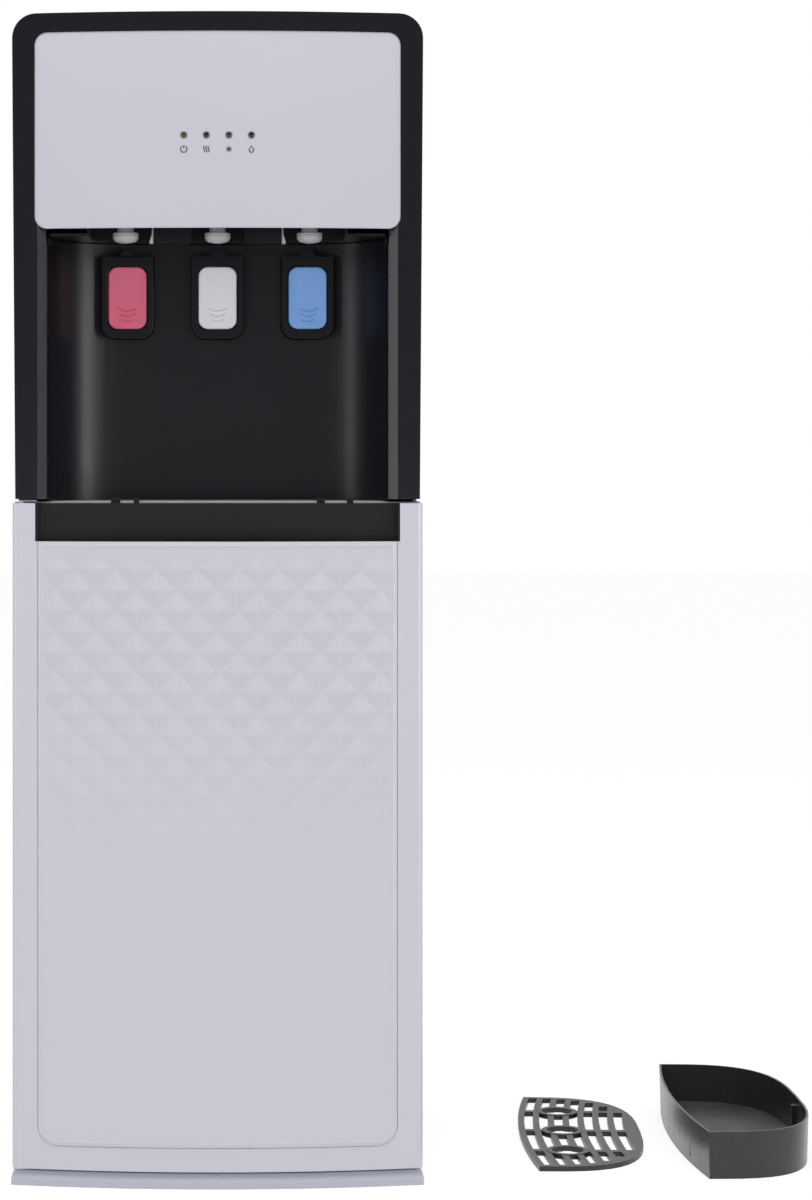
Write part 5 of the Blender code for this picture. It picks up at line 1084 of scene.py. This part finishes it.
def screw_head():
    """A domed head with a cross recess, looking along +Z."""
    arm, reach, top = SCREW_RADIUS * 0.13, SCREW_RADIUS * 0.52, SCREW_HEIGHT
    plan = [(reach, arm), (arm, arm), (arm, reach), (-arm, reach), (-arm, arm), (-reach, arm),
            (-reach, -arm), (-arm, -arm), (-arm, -reach), (arm, -reach), (arm, -arm), (reach, -arm)]
    cross = [p for a, b in zip(plan, plan[1:] + plan[:1])
             for p in (a, ((a[0] + b[0]) / 2, (a[1] + b[1]) / 2))]
    bm = bmesh.new()
    rows = [[bm.verts.new((x, y, z)) for x, y in cross] for z in (top * 0.45, top * 0.97)]
    for share, height in ((0.72, 0.92), (0.93, 0.66), (1.0, 0.30), (1.0, 0.0)):
        radius = SCREW_RADIUS * share
        rows.append([bm.verts.new((radius * math.cos(t), radius * math.sin(t), top * height))
                     for t in (math.atan2(y, x) for x, y in cross)])
    loft(bm, rows, capped=True)
    return piece_from("screw_head", bm)


def screws_tree(values):
    """A head on every point, turned to look along the point's facing."""
    tree, given, out = new_tree("screw_heads", values)
    head = add_node(tree, "GeometryNodeObjectInfo", Object=given.head).outputs["Geometry"]
    facing = add_node(tree, "GeometryNodeInputNamedAttribute", {"data_type": "FLOAT_VECTOR"}, Name="facing")
    turn = add_node(tree, "FunctionNodeAlignRotationToVector", {"axis": "Z"}, Vector=facing.outputs[0])
    points = add_node(tree, "GeometryNodeMeshToPoints", Mesh=given.geometry).outputs[0]
    heads = add_node(tree, "GeometryNodeInstanceOnPoints", Points=points, Instance=head,
                     Rotation=turn.outputs[0])
    return finish_tree(tree, heads.outputs[0], given.look, out)


def screws():
    """Screws of the rear panels."""
    places = [((side * x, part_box(piece)[1].y, z), (0.0, 1.0, 0.0))
              for piece, x, heights in SCREWS for side in (-1, 1) for z in heights]
    head = screw_head()
    heads = grown("panel_screws", screws_tree, {"Head": head, "Look": LOOKS["zinc"]}, places)
    bpy.data.objects.remove(head)
    place(heads, "cabinet", "zinc")


def rocker_marks():
    """The plain bar and ring of on and off on each rocker."""
    right = Vector((1.0, 0.0, 0.0))
    ring = (RING_RISE, arc((0.0, 0.0), RING_RADIUS, 0, 345, 23), True)
    bar = (-BAR_DROP, [(0.0, -BAR_HALF), (0.0, BAR_HALF)], False)
    for node, body in (("rocker_heating", "heating_switch"), ("rocker_cooling", "cooling_switch")):
        source = frame["nodes"][node].data
        low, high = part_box(node)
        tree = BVHTree.FromPolygons([v.co for v in source.vertices], [p.vertices for p in source.polygons])
        bm = bmesh.new()
        for rise, points, closed in (ring, bar):
            spot = Vector(((low.x + high.x) / 2, high.y + 0.01, (low.z + high.z) / 2 + rise))
            hit, normal, _, _ = tree.ray_cast(spot, Vector((0.0, -1.0, 0.0)))
            up = normal.cross(right)

            def put(x, z, lift):
                return hit + x * right + z * up + lift * normal

            stroke(bm, points, MARK_WIDTH, put, closed)
        place(piece_from(node + "_marks", bm), body, "white_ink")


# Studio


def area_light(name, spot, aim, size, power, mirrored):
    lamp = bpy.data.lights.new(name, "AREA")
    lamp.shape = "RECTANGLE"
    lamp.size, lamp.size_y = size
    lamp.energy = power
    obj = new_object(name, lamp)
    obj.location = spot
    obj.rotation_euler = (Vector(aim) - Vector(spot)).to_track_quat("-Z", "Y").to_euler()
    obj.visible_glossy = mirrored
    obj.visible_diffuse = not mirrored


def studio_room():
    """An even pale room: dim in front of the cabinet and pale behind it where gloss mirrors it."""
    world = bpy.data.worlds.new("studio")
    bpy.context.scene.world = world
    world.use_nodes = True
    tree = world.node_tree
    room = tree.nodes["Background"]
    room.inputs["Color"].default_value = (1.0, 1.0, 1.0, 1.0)
    rays = fields(tree, add_node(tree, "ShaderNodeLightPath").outputs)
    seen = rays["Is Camera Ray"].at_least(rays["Is Transmission Ray"])
    way = add_node(tree, "ShaderNodeTexCoord").outputs["Generated"]
    ahead = add_node(tree, "ShaderNodeSeparateXYZ", Vector=way).outputs["Y"]
    mirrored = ranged(tree, ahead, -0.2, 0.6) * (ROOM_BEHIND - ROOM_AHEAD) + ROOM_AHEAD
    lit = (mirrored - ROOM_LIGHT) * rays["Is Glossy Ray"] + ROOM_LIGHT
    feed(tree, room.inputs["Strength"], (1.0 - lit) * seen + lit)


def studio_floor(colour=(0.86, 0.86, 0.87)):
    """A pale floor that looks white but keeps the object's shadow."""
    bm = bmesh.new()
    corners = ((-1, -1), (1, -1), (1, 1), (-1, 1))
    bm.faces.new([bm.verts.new((FLOOR_REACH * x, FLOOR_REACH * y, 0.0)) for x, y in corners])
    floor = piece_from("studio_floor", bm)
    look, tree, shader = new_material("studio_floor", colour, 0.75)
    grain = noise(tree, object_coords(tree), 3.0, 3.0)
    feed(tree, shader.inputs["Base Color"], scaled(tree, colour, grain * 0.02 + 0.99))
    rays = fields(tree, add_node(tree, "ShaderNodeLightPath").outputs)
    seen = rays["Is Camera Ray"].at_least(rays["Is Glossy Ray"]).at_least(rays["Is Transmission Ray"])
    glow = add_node(tree, "ShaderNodeEmission", Color=(1.0, 1.0, 1.0, 1.0), Strength=FLOOR_GLOW).outputs[0]
    mix = add_node(tree, "ShaderNodeMixShader")
    for socket, value in zip(mix.inputs, (seen * FLOOR_GLOW_SHARE, shader.outputs[0], glow)):
        feed(tree, socket, value)
    feed(tree, tree.nodes["Material Output"].inputs["Surface"], mix.outputs[0])
    floor.data.materials.append(look)


def photo_camera():
    """The photograph's viewing angle: level, square to the front, the cabinet left of the middle."""
    data = bpy.data.cameras.new("camera")
    data.lens, data.sensor_width = LENS_MM, 36.0
    data.shift_x, data.shift_y = SHIFT_RIGHT, -SHIFT_DOWN
    camera = new_object("camera", data)
    camera.location = (0.0, -CAMERA_DISTANCE, CAMERA_HEIGHT)
    camera.rotation_euler = (math.pi / 2, 0.0, 0.0)
    bpy.context.scene.camera = camera


photo_camera()
studio_room()
studio_floor()
for lamp in LAMPS:
    area_light(*lamp)
finish_kept_nodes()
soften_edges()
relief_door_panel()
display_face()
lamp_lenses()
pictograms()
for tap, look in (("hot", "hot_red"), ("room", "room_white"), ("cold", "cold_blue")):
    paddle("paddle_" + tap, tap + "_lever", look)
    nozzle("nozzle_" + tap)
peg_hooks()
panel_seals()
condenser_tube()
condenser_wires()
screws()
rocker_marks()
bpy.context.scene.view_settings.view_transform = "Standard"
